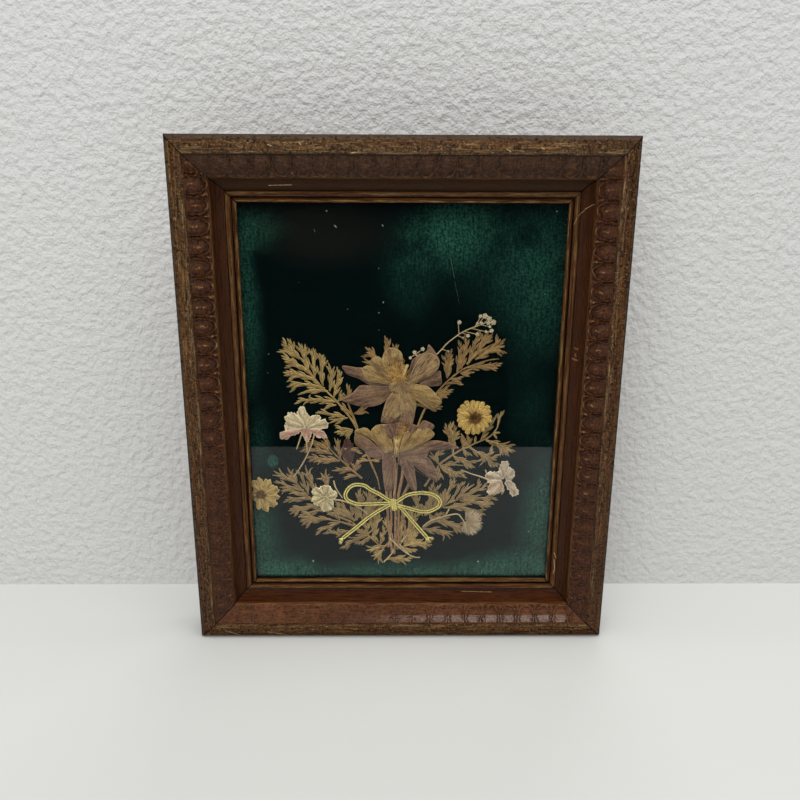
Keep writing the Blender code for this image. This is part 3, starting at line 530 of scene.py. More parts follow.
def makeRail(name, material):
    size = rails[name]
    rows = sectionRows()
    half = size["length"] / 2
    count = round(size["length"] / moulding["step"])
    deselectAll()
    bpy.ops.mesh.primitive_grid_add(x_subdivisions=count, y_subdivisions=len(rows) - 1, size=1)
    rail = bpy.context.object
    rail.name = name + "_carved"
    mesh = rail.data
    turn = Matrix.Rotation(math.radians(size["turn"]), 3, "Y")
    for title, kind in (("lay", "FLOAT_VECTOR"), ("relief", "FLOAT"), ("wear", "FLOAT_VECTOR")):
        mesh.attributes.new(title, kind, "POINT")
    lay, relief, wear = (mesh.attributes[title] for title in ("lay", "relief", "wear"))
    slopes = []
    for row in range(len(rows)):
        u0, d0 = rows[max(0, row - 1)]
        u1, d1 = rows[min(len(rows) - 1, row + 1)]
        run = math.hypot(u1 - u0, d1 - d0)
        slopes.append(((d1 - d0) / run, -(u1 - u0) / run))
    for vert in mesh.vertices:
        row = round((vert.co.y + 0.5) * (len(rows) - 1))
        u, d = rows[row]
        reach = half - u - moulding["gap"]
        along = ((vert.co.x + 0.5) * 2 - 1) * reach
        place = turn @ Vector((along, moulding["front"] + d, u - size["reach"]))
        place.z += moulding["height"] / 2
        height = 0.0
        if 0 < row < len(rows) - 1 and d < moulding["carvedTo"] and reach > 0:
            height = reliefAt(name, along, u, place.x, place.z, size["middle"])
            lean = turn @ Vector((0, slopes[row][1], slopes[row][0]))
            toEnd = min(1.0, (reach - abs(along)) / moulding["mitreFade"])
            if height > 0 and (u < moulding["flush"][0] or d < moulding["flush"][1]):
                lean *= 0.0  # nothing past the CAD box
            place += lean * height * toEnd
        lay.data[vert.index].vector = (along, u, d)
        relief.data[vert.index].value = height
        wear.data[vert.index].vector = (size["dull"], size["gilt"], reach - abs(along))
        vert.co = place * mm
    closeEnds()
    mesh.shade_smooth()
    bpy.ops.object.shade_smooth_by_angle(angle=math.radians(moulding["smooth"]))
    mesh.materials.append(material)
    settle(rail, name)


woodLook = tints({
    "deep": (34, 17, 8), "body": (70, 39, 17), "light": (104, 64, 29), "gold": (164, 130, 76),
    "crest": (206, 176, 124), "cove": (74, 32, 9), "pressed": (82, 38, 15), "dull": (62, 43, 26),
    "raw": (206, 178, 130), "ash": (86, 76, 64), "nearBlack": (20, 12, 7), "rub": (122, 82, 46),
    "paintedTableSheen": (164, 150, 144), "ruddyPaintedLight": (122, 74, 42), "sore": (176, 116, 88),
    "bare": (134, 98, 62)})
woodZones = {  # across the section from its outer edge: from, to, softness
    "side": (-1.0, 2.6, 0.5), "outer": (2.6, 11.6, 1.2), "pitted": (1.0, 10.8, 0.8),
    "crest": (9.1, 10.3, 0.3), "outerGroove": (10.6, 11.4, 0.2), "band": (11.4, 23.3, 0.2),
    "bandEdge": (22.9, 23.6, 0.15), "cove": (23.8, 29.8, 0.3), "coveGroove": (30.1, 30.6, 0.15),
    "bead": (31.0, 33.0, 0.4), "beadGroove": (33.6, 34.4, 0.2), "lip": (35.4, 36.8, 0.3)}
woodGrain = {  # cycles along and across, per millimetre, and the levels of the cut
    "broad": (0.02, 0.5, 0.38, 0.62), "fine": (0.06, 1.5, 0.4, 0.6),
    "hair": (0.12, 3.0, 0.44, 0.58), "streak": (0.045, 0.75, 0.47, 0.56),
    "patches": (0.018, 0.12, 0.42, 0.58), "chip": (0.3, 1.1, 0.62, 0.67)}
woodBlotches = {  # cycles per metre, the levels of the cut, and detail
    "cloud": (30.0, 0.4, 0.62, 4.0), "blotch": (170.0, 0.46, 0.58, 5.0),
    "pores": (620.0, 0.5, 0.66, 3.0), "flecks": (950.0, 0.56, 0.64, 2.0),
    "pits": (560.0, 0.54, 0.62, 4.0), "emboss": (480.0, 0.47, 0.6, 4.0)}
woodMarks = {
    "bruises": (((104, 193.4), (105, 193), 1.3), ((103.4, 186.8), (105, 186.4), 1.6),
                ((104.3, 190), (104.5, 188.6), 0.9)),
    "scratches": (
        ((-76, 287.5), (-63, 287.8), 0.45), ((108, 278), (104, 274.8), 0.25),
        ((104, 274.2), (100.4, 271), 0.22), ((99.8, 270.6), (98.5, 266), 0.18),
        ((99.5, 57), (101, 53), 0.4), ((99.8, 52), (100.5, 45), 0.45),
        ((100.5, 45), (99.8, 42), 0.4), ((-74, 309.4), (-72, 308.6), 0.5),
        ((-57.5, 310.8), (-56, 309.5), 0.5), ((-28.5, 305), (-26.5, 305.6), 0.5),
        ((56.5, 307.5), (58.5, 306.2), 0.5), ((75.5, 308.3), (77, 307.4), 0.5),
        ((-115, 6), (-104, 1), 0.35), ((-87, 5), (-74, 1.5), 0.35),
        ((-128, 1.2), (-126, 2.6), 0.6), ((40, 28.2), (60, 27.8), 0.16))}


def buildWood():
    # zones follow the section: side, worn band, groove, pressed band, cove, bead and lip
    material, shader = newMaterial("varnishedMoulding")
    lay = attribute("lay")
    relief = attribute("relief", "Fac")
    dull, gilt, toMitre = splitVector(attribute("wear"))
    _, inward, depth = splitVector(lay)
    place = objectPlace()
    x, _, z = splitVector(place)

    def zone(name):
        return bandMask(inward, *woodZones[name])

    def grain(name):
        along, across, low, high = woodGrain[name]
        return streaked(lay, (along, across, across), low, high)

    def paint(under, name, *masks):
        return mixColour(times(*masks), under, woodLook[name])

    broad, _ = grain("broad")
    fine, fineHigh = grain("fine")
    hair, hairHigh = grain("hair")
    streak, _ = grain("streak")
    patches, _ = grain("patches")
    chip, _ = grain("chip")
    cloud, cloudHigh = mottled(place, *woodBlotches["cloud"])
    blotch, blotchHigh = mottled(place, *woodBlotches["blotch"])
    pores, _ = mottled(place, *woodBlotches["pores"])
    flecks, _ = mottled(place, *woodBlotches["flecks"])
    pits, pitsHigh = mottled(place, *woodBlotches["pits"])
    emboss, embossHigh = mottled(place, *woodBlotches["emboss"])
    # bright: painted light from above, only on the bottom rail, whose band faces up
    bright = rangeNode(dull, 0.1, 0.3, 0.9, 0.0)
    gilt = times(gilt, rangeNode(z, 0.09, 0.2, 0.45, 1.0))
    dull = times(dull, rangeNode(inward, 29.8, 30.8, 1.0, 0.15))

    # plain varnish, the side and the cove
    body = paint(woodLook["body"], "light", broad)
    body = paint(body, "deep", fine, 0.7)
    body = paint(body, "dull", dull, scaled(cloud, 0.4, 0.5))
    body = paint(body, "ash", zone("side"), scaled(pores, 0.4, 0.45))
    cove = paint(woodLook["cove"], "deep", fine, 0.75)
    cove = paint(cove, "nearBlack", hair, 0.35)
    cove = paint(cove, "dull", dull, 0.85)
    colour = mixColour(times(zone("cove"), 0.9), body, cove)

    # the outer band, worn down to gold lines with pits between them
    drift = scaled(cloudHigh, 4.4, inward)
    ridge = times(rangeNode(x, 0.098, 0.1), rangeNode(drift, 8.6, 9.6, 0.9, 0.0))
    worn = times(bandMask(drift, 5.4, 12.6, 0.9), mathNode("SUBTRACT", 1.0, ridge))
    golden = paint(paint(woodLook["light"], "gold", streak), "deep", hair, 0.95)
    wornShare = times(worn, gilt, scaled(patches, 0.7, 0.35),
                      scaled(fine, -0.9, 1.15, clamp=True))
    colour = mixColour(wornShare, colour, golden)
    colour = paint(colour, "gold", zone("outer"), flecks, cloudHigh, times(gilt, 1.7))
    colour = paint(colour, "nearBlack", zone("pitted"), pits, 0.8)
    colour = paint(colour, "crest", zone("crest"), streak, patches, scaled(gilt, 0.6, 0.12))

    # the pressed band: dark in its hollows; rubbed wear and painted highlights on its heights
    band = zone("band")
    pressed = paint(woodLook["pressed"], "cove", blotch, 0.6)
    # painted light: the bottom rail's pressed band lighter and ruddier
    pressed = paint(pressed, "ruddyPaintedLight", bright, scaled(cloud, 0.5, 0.5))
    pressed = paint(pressed, "deep", hair, 0.6)
    pressed = paint(pressed, "dull", dull, 0.8)
    pressed = paint(pressed, "rub", emboss, scaled(dull, 0.2, 0.1))
    pressed = paint(pressed, "nearBlack", pits, 0.55)
    colour = mixColour(times(band, 0.95), colour, pressed)
    # the band darker in its hollows
    colour = paint(colour, "nearBlack", band, rangeNode(relief, -0.4, 0.1, 1.0, 0.0), 0.7)
    # rubbed wear with painted highlight on the arches, then a pale painted highlight on the keels
    # and beads, the highest relief
    colour = paint(colour, "rub", band, rangeNode(relief, 0.12, 0.5), 0.45)
    colour = paint(colour, "crest", band, rangeNode(relief, 0.42, 0.8), scaled(flecks, 0.6, 0.4),
                   0.5)
    colour = paint(colour, "rub", band, flecks, pores, 0.4)
    # painted reflection: a pale sheen of the table on the raised plates of the bottom rail's band,
    # growing towards its right
    colour = paint(colour, "paintedTableSheen", bandMask(z, 0.0118, 0.0166, 0.0004), band,
                   rangeNode(x, -0.045, 0.05), rangeNode(x, 0.106, 0.110, 1.0, 0.0),
                   rangeNode(relief, -0.12, 0.0), scaled(pores, 0.45, 0.4),
                   scaled(hair, -0.5, 1.0))

    # gold on the edges, dirt in the grooves and mitres, then marks of use
    edges = either(times(zone("bandEdge"), 0.35), times(zone("bead"), 0.5), zone("lip"))
    edges = times(edges, scaled(gilt, 0.6, 0.42), scaled(streak, 0.9, 0.02),
                  scaled(hair, -0.8, 1.0))
    colour = paint(colour, "gold", edges)
    grooves = either(zone("outerGroove"), zone("beadGroove"), zone("coveGroove"))
    grooves = most(grooves, rangeNode(toMitre, 0.1, 0.5, 1.0, 0.0))
    dirt = most(scaled(dull, 0.8, 0.1), rangeNode(inward, 20.0, 21.0),
                rangeNode(toMitre, 0.3, 0.5, 1.0, 0.0))
    colour = paint(colour, "nearBlack", grooves, dirt, 0.9)
    chips = times(chip, scaled(worn, 0.6, edges, clamp=True))
    colour = paint(colour, "raw", most(chips, addMarks(place, woodMarks["scratches"])), 0.85)
    colour = paint(colour, "sore", addMarks(place, woodMarks["bruises"]), blotchHigh)

    # the flat back is bare timber
    behind = times(rangeNode(depth, 15.5, 17.0), rangeNode(inward, 0.2, 0.8))
    bare = paint(paint(woodLook["bare"], "light", broad), "body", fine, 0.6)
    gloss = scaled(cloudHigh, 0.14, 0.06)
    for mask, duller in ((wornShare, 0.35), (dull, 0.25), (behind, 0.45)):
        gloss = scaled(mask, duller, gloss)
    plugAll(shader, {"Base Color": mixColour(behind, colour, bare), "Roughness": gloss,
                     "Specular IOR Level": 0.36})
    addBumps(shader, (fineHigh, 0.6, 0.0003), (hairHigh, 0.4, 0.0002),
             (embossHigh, 0.8, 0.0008), (pitsHigh, 0.7, 0.0004))
    return material


wood = buildWood()
for railName in rails:
    makeRail(railName, wood)
print("rails carved")


def smoothRoute(points, spacing, closed=False):
    # evenly spaced points on a smooth curve through the given ones
    points = [Vector(p) for p in points]
    count = len(points)
    fineRoute = []
    spans = count if closed else count - 1
    for i in range(spans):
        if closed:
            p0, p1, p2, p3 = (points[(i + k) % count] for k in (-1, 0, 1, 2))
        else:
            p0, p1 = points[max(0, i - 1)], points[i]
            p2, p3 = points[i + 1], points[min(count - 1, i + 2)]
        for k in range(8):
            t = k / 8
            place = []
            for a, b, c, d in zip(p0, p1, p2, p3):
                place.append(0.5 * (2 * b + (c - a) * t + (2 * a - 5 * b + 4 * c - d) * t * t
                                    + (3 * b - a - 3 * c + d) * t ** 3))
            fineRoute.append(Vector(place))
    fineRoute.append(Vector(points[0] if closed else points[-1]))
    total = sum((b - a).length for a, b in zip(fineRoute, fineRoute[1:]))
    steps = max(3, round(total / spacing))
    route, walked, index = [], 0.0, 0
    for step in range(steps if closed else steps + 1):
        wanted = total * step / steps
        while index < len(fineRoute) - 2:
            span = (fineRoute[index + 1] - fineRoute[index]).length
            if walked + span >= wanted:
                break
            walked += span
            index += 1
        span = max(1e-9, (fineRoute[index + 1] - fineRoute[index]).length)
        share = min(1.0, (wanted - walked) / span)
        route.append(fineRoute[index].lerp(fineRoute[index + 1], share))
    return route


def hashOf(*values):
    return noise.noise(Vector(values) * 7.31) * 0.5 + 0.5


def plantLayers(bm):
    # lay holds across, along and depth from the rim in millimetres; tone varies each lobe
    if not bm.verts.layers.float_vector.get("lay"):
        bm.verts.layers.float_vector.new("lay")
        bm.verts.layers.float.new("tone")
    return bm.verts.layers.float_vector["lay"], bm.verts.layers.float["tone"]


def addVert(bm, layers, place, lay, tone):
    vert = bm.verts.new(place)
    vert[layers[0]] = lay
    vert[layers[1]] = tone
    return vert


def waysAt(route, index):
    # the way ahead at a point of a route, and the way to its left
    ahead = route[min(len(route) - 1, index + 1)] - route[max(0, index - 1)]
    ahead.normalize()
    return ahead, Vector((-ahead.y, ahead.x))


def joinRings(bm, rings):
    # a closed skin over rings of vertices, with its two ends filled
    around = len(rings[0])
    for first, second in zip(rings, rings[1:]):
        for k in range(around):
            n = (k + 1) % around
            bm.faces.new((first[k], first[n], second[n], second[k]))
    bm.faces.new(rings[0])
    bm.faces.new(rings[-1])


# across and bulge of a lobe's section, as shares of its half width and thickness
lobeSection = ((-1.0, 0.0), (-0.62, 0.75), (-0.12, 0.85), (0.0, 0.55), (0.12, 0.85),
               (0.62, 0.75), (1.0, 0.0), (0.5, -0.45), (-0.5, -0.45))


def blade(bm, points, width, y, thick=0.16, root=0.3, blunt=0.35, fullAt=0.55, dome=0.35,
          spacing=1.0, wave=0.25, tone=0.5, taper=2.4):
    # one pressed leaf lobe: a closed lens section with a creased vein, run along its route
    layers = plantLayers(bm)
    route = smoothRoute(points, spacing)
    count = len(route)
    rings = []
    for index, spot in enumerate(route):
        t = index / (count - 1)
        side = waysAt(route, index)[1]
        if t < fullAt:
            share = root + (1 - root) * math.sin(t / fullAt * math.pi / 2)
        else:
            late = (t - fullAt) / (1 - fullAt)
            share = (1 - late ** taper) ** 0.7 * (1 - blunt) + blunt * math.sqrt(1 - late ** 6)
        share = max(0.04, share)
        half = width / 2 * share
        half *= 1 + 0.1 * noise.noise(Vector((spot.x, spot.y, tone * 9)) * 0.9)
        lift = wave * noise.noise(Vector((spot.x, spot.y, tone * 20)) * 0.35)
        ring = []
        for across, bulge in lobeSection:
            edgeWave = 0.12 * noise.noise(Vector((spot.x, spot.y, across * 3 + tone)) * 1.2)
            flat = spot + side * half * across
            depth = y + lift + edgeWave * abs(across) - bulge * thick
            depth += dome * 0.4 * abs(across) ** 2 * share
            lay = (across * half, t * count * spacing, half * (1 - abs(across)))
            ring.append(addVert(bm, layers, (flat.x, depth, flat.y), lay, tone))
        rings.append(ring)
    joinRings(bm, rings)


# pointed teeth and fingers of a leaf
toothShape = {"blunt": 0.03, "fullAt": 0.4, "taper": 2.0, "spacing": 0.8}
leafShape = {"front": 6.1, "pitch": 0.6, "rib": (0.75, 0.3), "ribRise": 0.12, "tooth": 1.1,
             "finger": 1.3, "fingerStep": 2.9, "fingerReach": 3.4, "fingersFrom": (5.5, 7.5)}


def frond(bm, stem, tips, width, y, tone):
    # a leaf segment: a narrow body, fingers leaving it at a low angle, and fingers at its end
    y += 0.12 * (hashOf(stem[0][0], stem[0][1], 1.0) - 0.5)
    reach = leafShape["fingerReach"]
    if len(stem) == 1:
        for number, tip in enumerate(tips):
            start, end = Vector(stem[0]), Vector(tip)
            middle = start.lerp(end, 0.5)
            blade(bm, [start, middle, end], 1.1 + width * 0.22, y + 0.05 * number,
                  tone=tone, root=0.4, fullAt=0.45, blunt=0.04, taper=2.0, spacing=0.8)
            if (end - start).length > leafShape["fingersFrom"][0]:
                fingers(bm, [start, middle, end], y, tone, reach, 0.3, 0.9)
        return
    last = Vector(stem[-1])
    before = Vector(stem[-2])
    ahead = (last - before).normalized()
    blade(bm, list(stem) + [last + ahead * 1.2], 0.9 + width * 0.28, y, tone=tone, root=0.35,
          fullAt=0.6, blunt=0.2, taper=1.6)
    fingers(bm, stem, y, tone, reach + width * 0.3, 0.15, 0.78)
    for number, tip in enumerate(tips):
        end = Vector(tip)
        start = before.lerp(last, 0.55)
        turn = last.lerp(end, 0.4)
        depth = y - 0.07 * (number % 3)
        shade = tone + 0.26 * math.sin(number * 2.3 + last.x)
        blade(bm, [start, turn, end], leafShape["tooth"] + 0.35 * hashOf(end.x, end.y, 2.0),
              depth, tone=shade, root=0.7, **toothShape)
        if (end - last).length > leafShape["fingersFrom"][1]:
            fingers(bm, [last.lerp(end, 0.1), turn, end], depth, shade, reach, 0.2)


def fingers(bm, points, y, tone, reach, begin, until=1.0):
    # long pointed fingers, in turn from one side and the other, running close to the body
    route = smoothRoute(points, leafShape["fingerStep"])
    count = len(route)
    for number in range(1, count - 1):
        if not begin < number / (count - 1) < until:
            continue
        way = -1 if number % 2 else 1
        spot = route[number]
        ahead, side = waysAt(route, number)
        side *= way
        longer = reach * (0.8 + 0.4 * hashOf(spot.x, spot.y, 4.0 + way))
        lean = (ahead + side * (0.46 + 0.22 * hashOf(spot.y, spot.x, 6.0))).normalized()
        bend = spot + lean * longer * 0.45 + side * 0.12 * longer
        blade(bm, [spot - ahead * 1.2, bend, spot + lean * longer + ahead * 0.9],
              leafShape["finger"], y + 0.05, tone=tone + 0.18 * way, root=0.6, **toothShape)


def tube(bm, points, radii, y, sides=8, spacing=0.8, flat=0.6, ridge=0.0, tone=0.5):
    # a stalk: a closed tube with four lengthwise ridges, pressed a little flat
    layers = plantLayers(bm)
    route = smoothRoute(points, spacing)
    count = len(route)
    rings = []
    for index, spot in enumerate(route):
        t = index / (count - 1)
        side = waysAt(route, index)[1]
        radius = radii[0] + (radii[1] - radii[0]) * t
        ring = []
        for k in range(sides):
            angle = math.tau * k / sides
            grown = radius * (1 + ridge * math.cos(4 * angle + t * 5)
                              + 0.15 * noise.noise(Vector((spot.x, spot.y, k * 1.7))))
            place = spot + side * grown * math.cos(angle)
            ring.append(addVert(bm, layers,
                                (place.x, y - grown * flat * math.sin(angle), place.y),
                                (grown * math.cos(angle), t * count * spacing, 1.0), tone))
        rings.append(ring)
    joinRings(bm, rings)


def insideOutline(outline, x, z):
    inside = False
    for (x0, z0), (x1, z1) in zip(outline, outline[1:] + outline[:1]):
        if (z0 > z) != (z1 > z) and x < (x1 - x0) * (z - z0) / (z1 - z0) + x0:
            inside = not inside
    return inside


def petal(bm, outline, root, y, dome=0.5, ruffle=0.25, folds=9, thick=0.12, spacing=1.1,
          tone=0.5, curl=0.0, fray=0.0, shade=0.3):
    # a pressed petal: a closed thin shell over its outline, with folds running from its root and
    # painted shade in the tone of their valleys
    layers = plantLayers(bm)
    rim = smoothRoute(outline, spacing * 0.8, closed=True)
    middle = sum(rim, Vector((0, 0))) / len(rim)
    for spot in rim:
        nick = noise.noise(Vector((spot.x, spot.y, tone * 7)) * 0.9)
        spot += (spot - middle).normalized() * fray * nick
    rim = [(v.x, v.y) for v in rim]
    places = list(rim)
    lowX, highX = min(p[0] for p in rim), max(p[0] for p in rim)
    lowZ, highZ = min(p[1] for p in rim), max(p[1] for p in rim)
    for row in range(int((highZ - lowZ) / spacing) + 1):
        z = lowZ + spacing * (row + 0.5)
        x = lowX + spacing * (0.25 + 0.5 * (row % 2))
        while x < highX:
            clear = min(math.hypot(x - a, z - b) for a, b in rim)
            if clear > spacing * 0.5 and insideOutline(rim, x, z):
                places.append((x, z))
            x += spacing
    sides = [(i, (i + 1) % len(rim)) for i in range(len(rim))]
    flat, _, cells, _, _, _ = delaunay_2d_cdt([Vector(p) for p in places], sides, [], 0, 0.01,
                                              False)
    front, back = [], []
    for spot in flat:
        clear = min(math.hypot(spot.x - a, spot.y - b) for a, b in rim)
        angle = math.atan2(spot.y - root[1], spot.x - root[0])
        reach = math.hypot(spot.x - root[0], spot.y - root[1])
        full = 1 - math.exp(-clear / 1.6)
        fold = math.sin(angle * folds + 0.6 * math.sin(reach * 0.5)) * min(1.0, reach / 5)
        crumple = noise.noise(Vector((spot.x, spot.y, tone * 11)) * 0.32)
        fine = noise.noise(Vector((spot.x, spot.y, tone * 5)) * 1.1)
        depth = y - dome * full + ruffle * fold + 0.35 * crumple * dome + 0.07 * fine
        depth -= curl * math.exp(-clear / 1.1)
        half = thick / 2 * (0.25 + 0.75 * full)
        # the tone holds painted shade: darker in the folds' deeper valleys and in crumples
        for store, offset in ((front, -half), (back, half)):
            store.append(addVert(bm, layers, (spot.x, depth + offset, spot.y),
                                 (angle * 10 + tone * 60, reach, clear),
                                 tone + shade * fold + 0.35 * crumple))
    outer = {}
    for cell in cells:
        x = sum(flat[i].x for i in cell) / len(cell)
        z = sum(flat[i].y for i in cell) / len(cell)
        if not insideOutline(rim, x, z):
            continue
        bm.faces.new([front[i] for i in cell])
        bm.faces.new([back[i] for i in reversed(cell)])
        for a, b in zip(cell, cell[1:] + cell[:1]):
            if (b, a) in outer:
                del outer[(b, a)]
            else:
                outer[(a, b)] = True
    for a, b in outer:
        bm.faces.new((front[b], front[a], back[a], back[b]))


def bead(bm, centre, radius, y, sides=6, rows=2, tone=0.5):
    # a small closed bump: a bud, an anther or a floret of an eye
    layers = plantLayers(bm)
    rings = []
    for row in range(rows + 1):
        lean = math.pi / 2 * row / (rows + 0.4)
        ring = []
        for k in range(sides):
            angle = math.tau * (k + 0.5 * row) / sides
            grown = radius * math.cos(lean) * (1 + 0.15 * noise.noise(
                Vector((centre[0] * 3, centre[1] * 3, k * 1.9))))
            place = (centre[0] + grown * math.cos(angle), y - radius * 0.8 * math.sin(lean),
                     centre[1] + grown * math.sin(angle))
            ring.append(addVert(bm, layers, place, (angle * 3, radius, 1.0), tone))
        rings.append(ring)
    joinRings(bm, rings)


def paintFrom(bm, firstFace, number):
    bm.faces.ensure_lookup_table()
    for face in bm.faces[firstFace:]:
        face.material_index = number


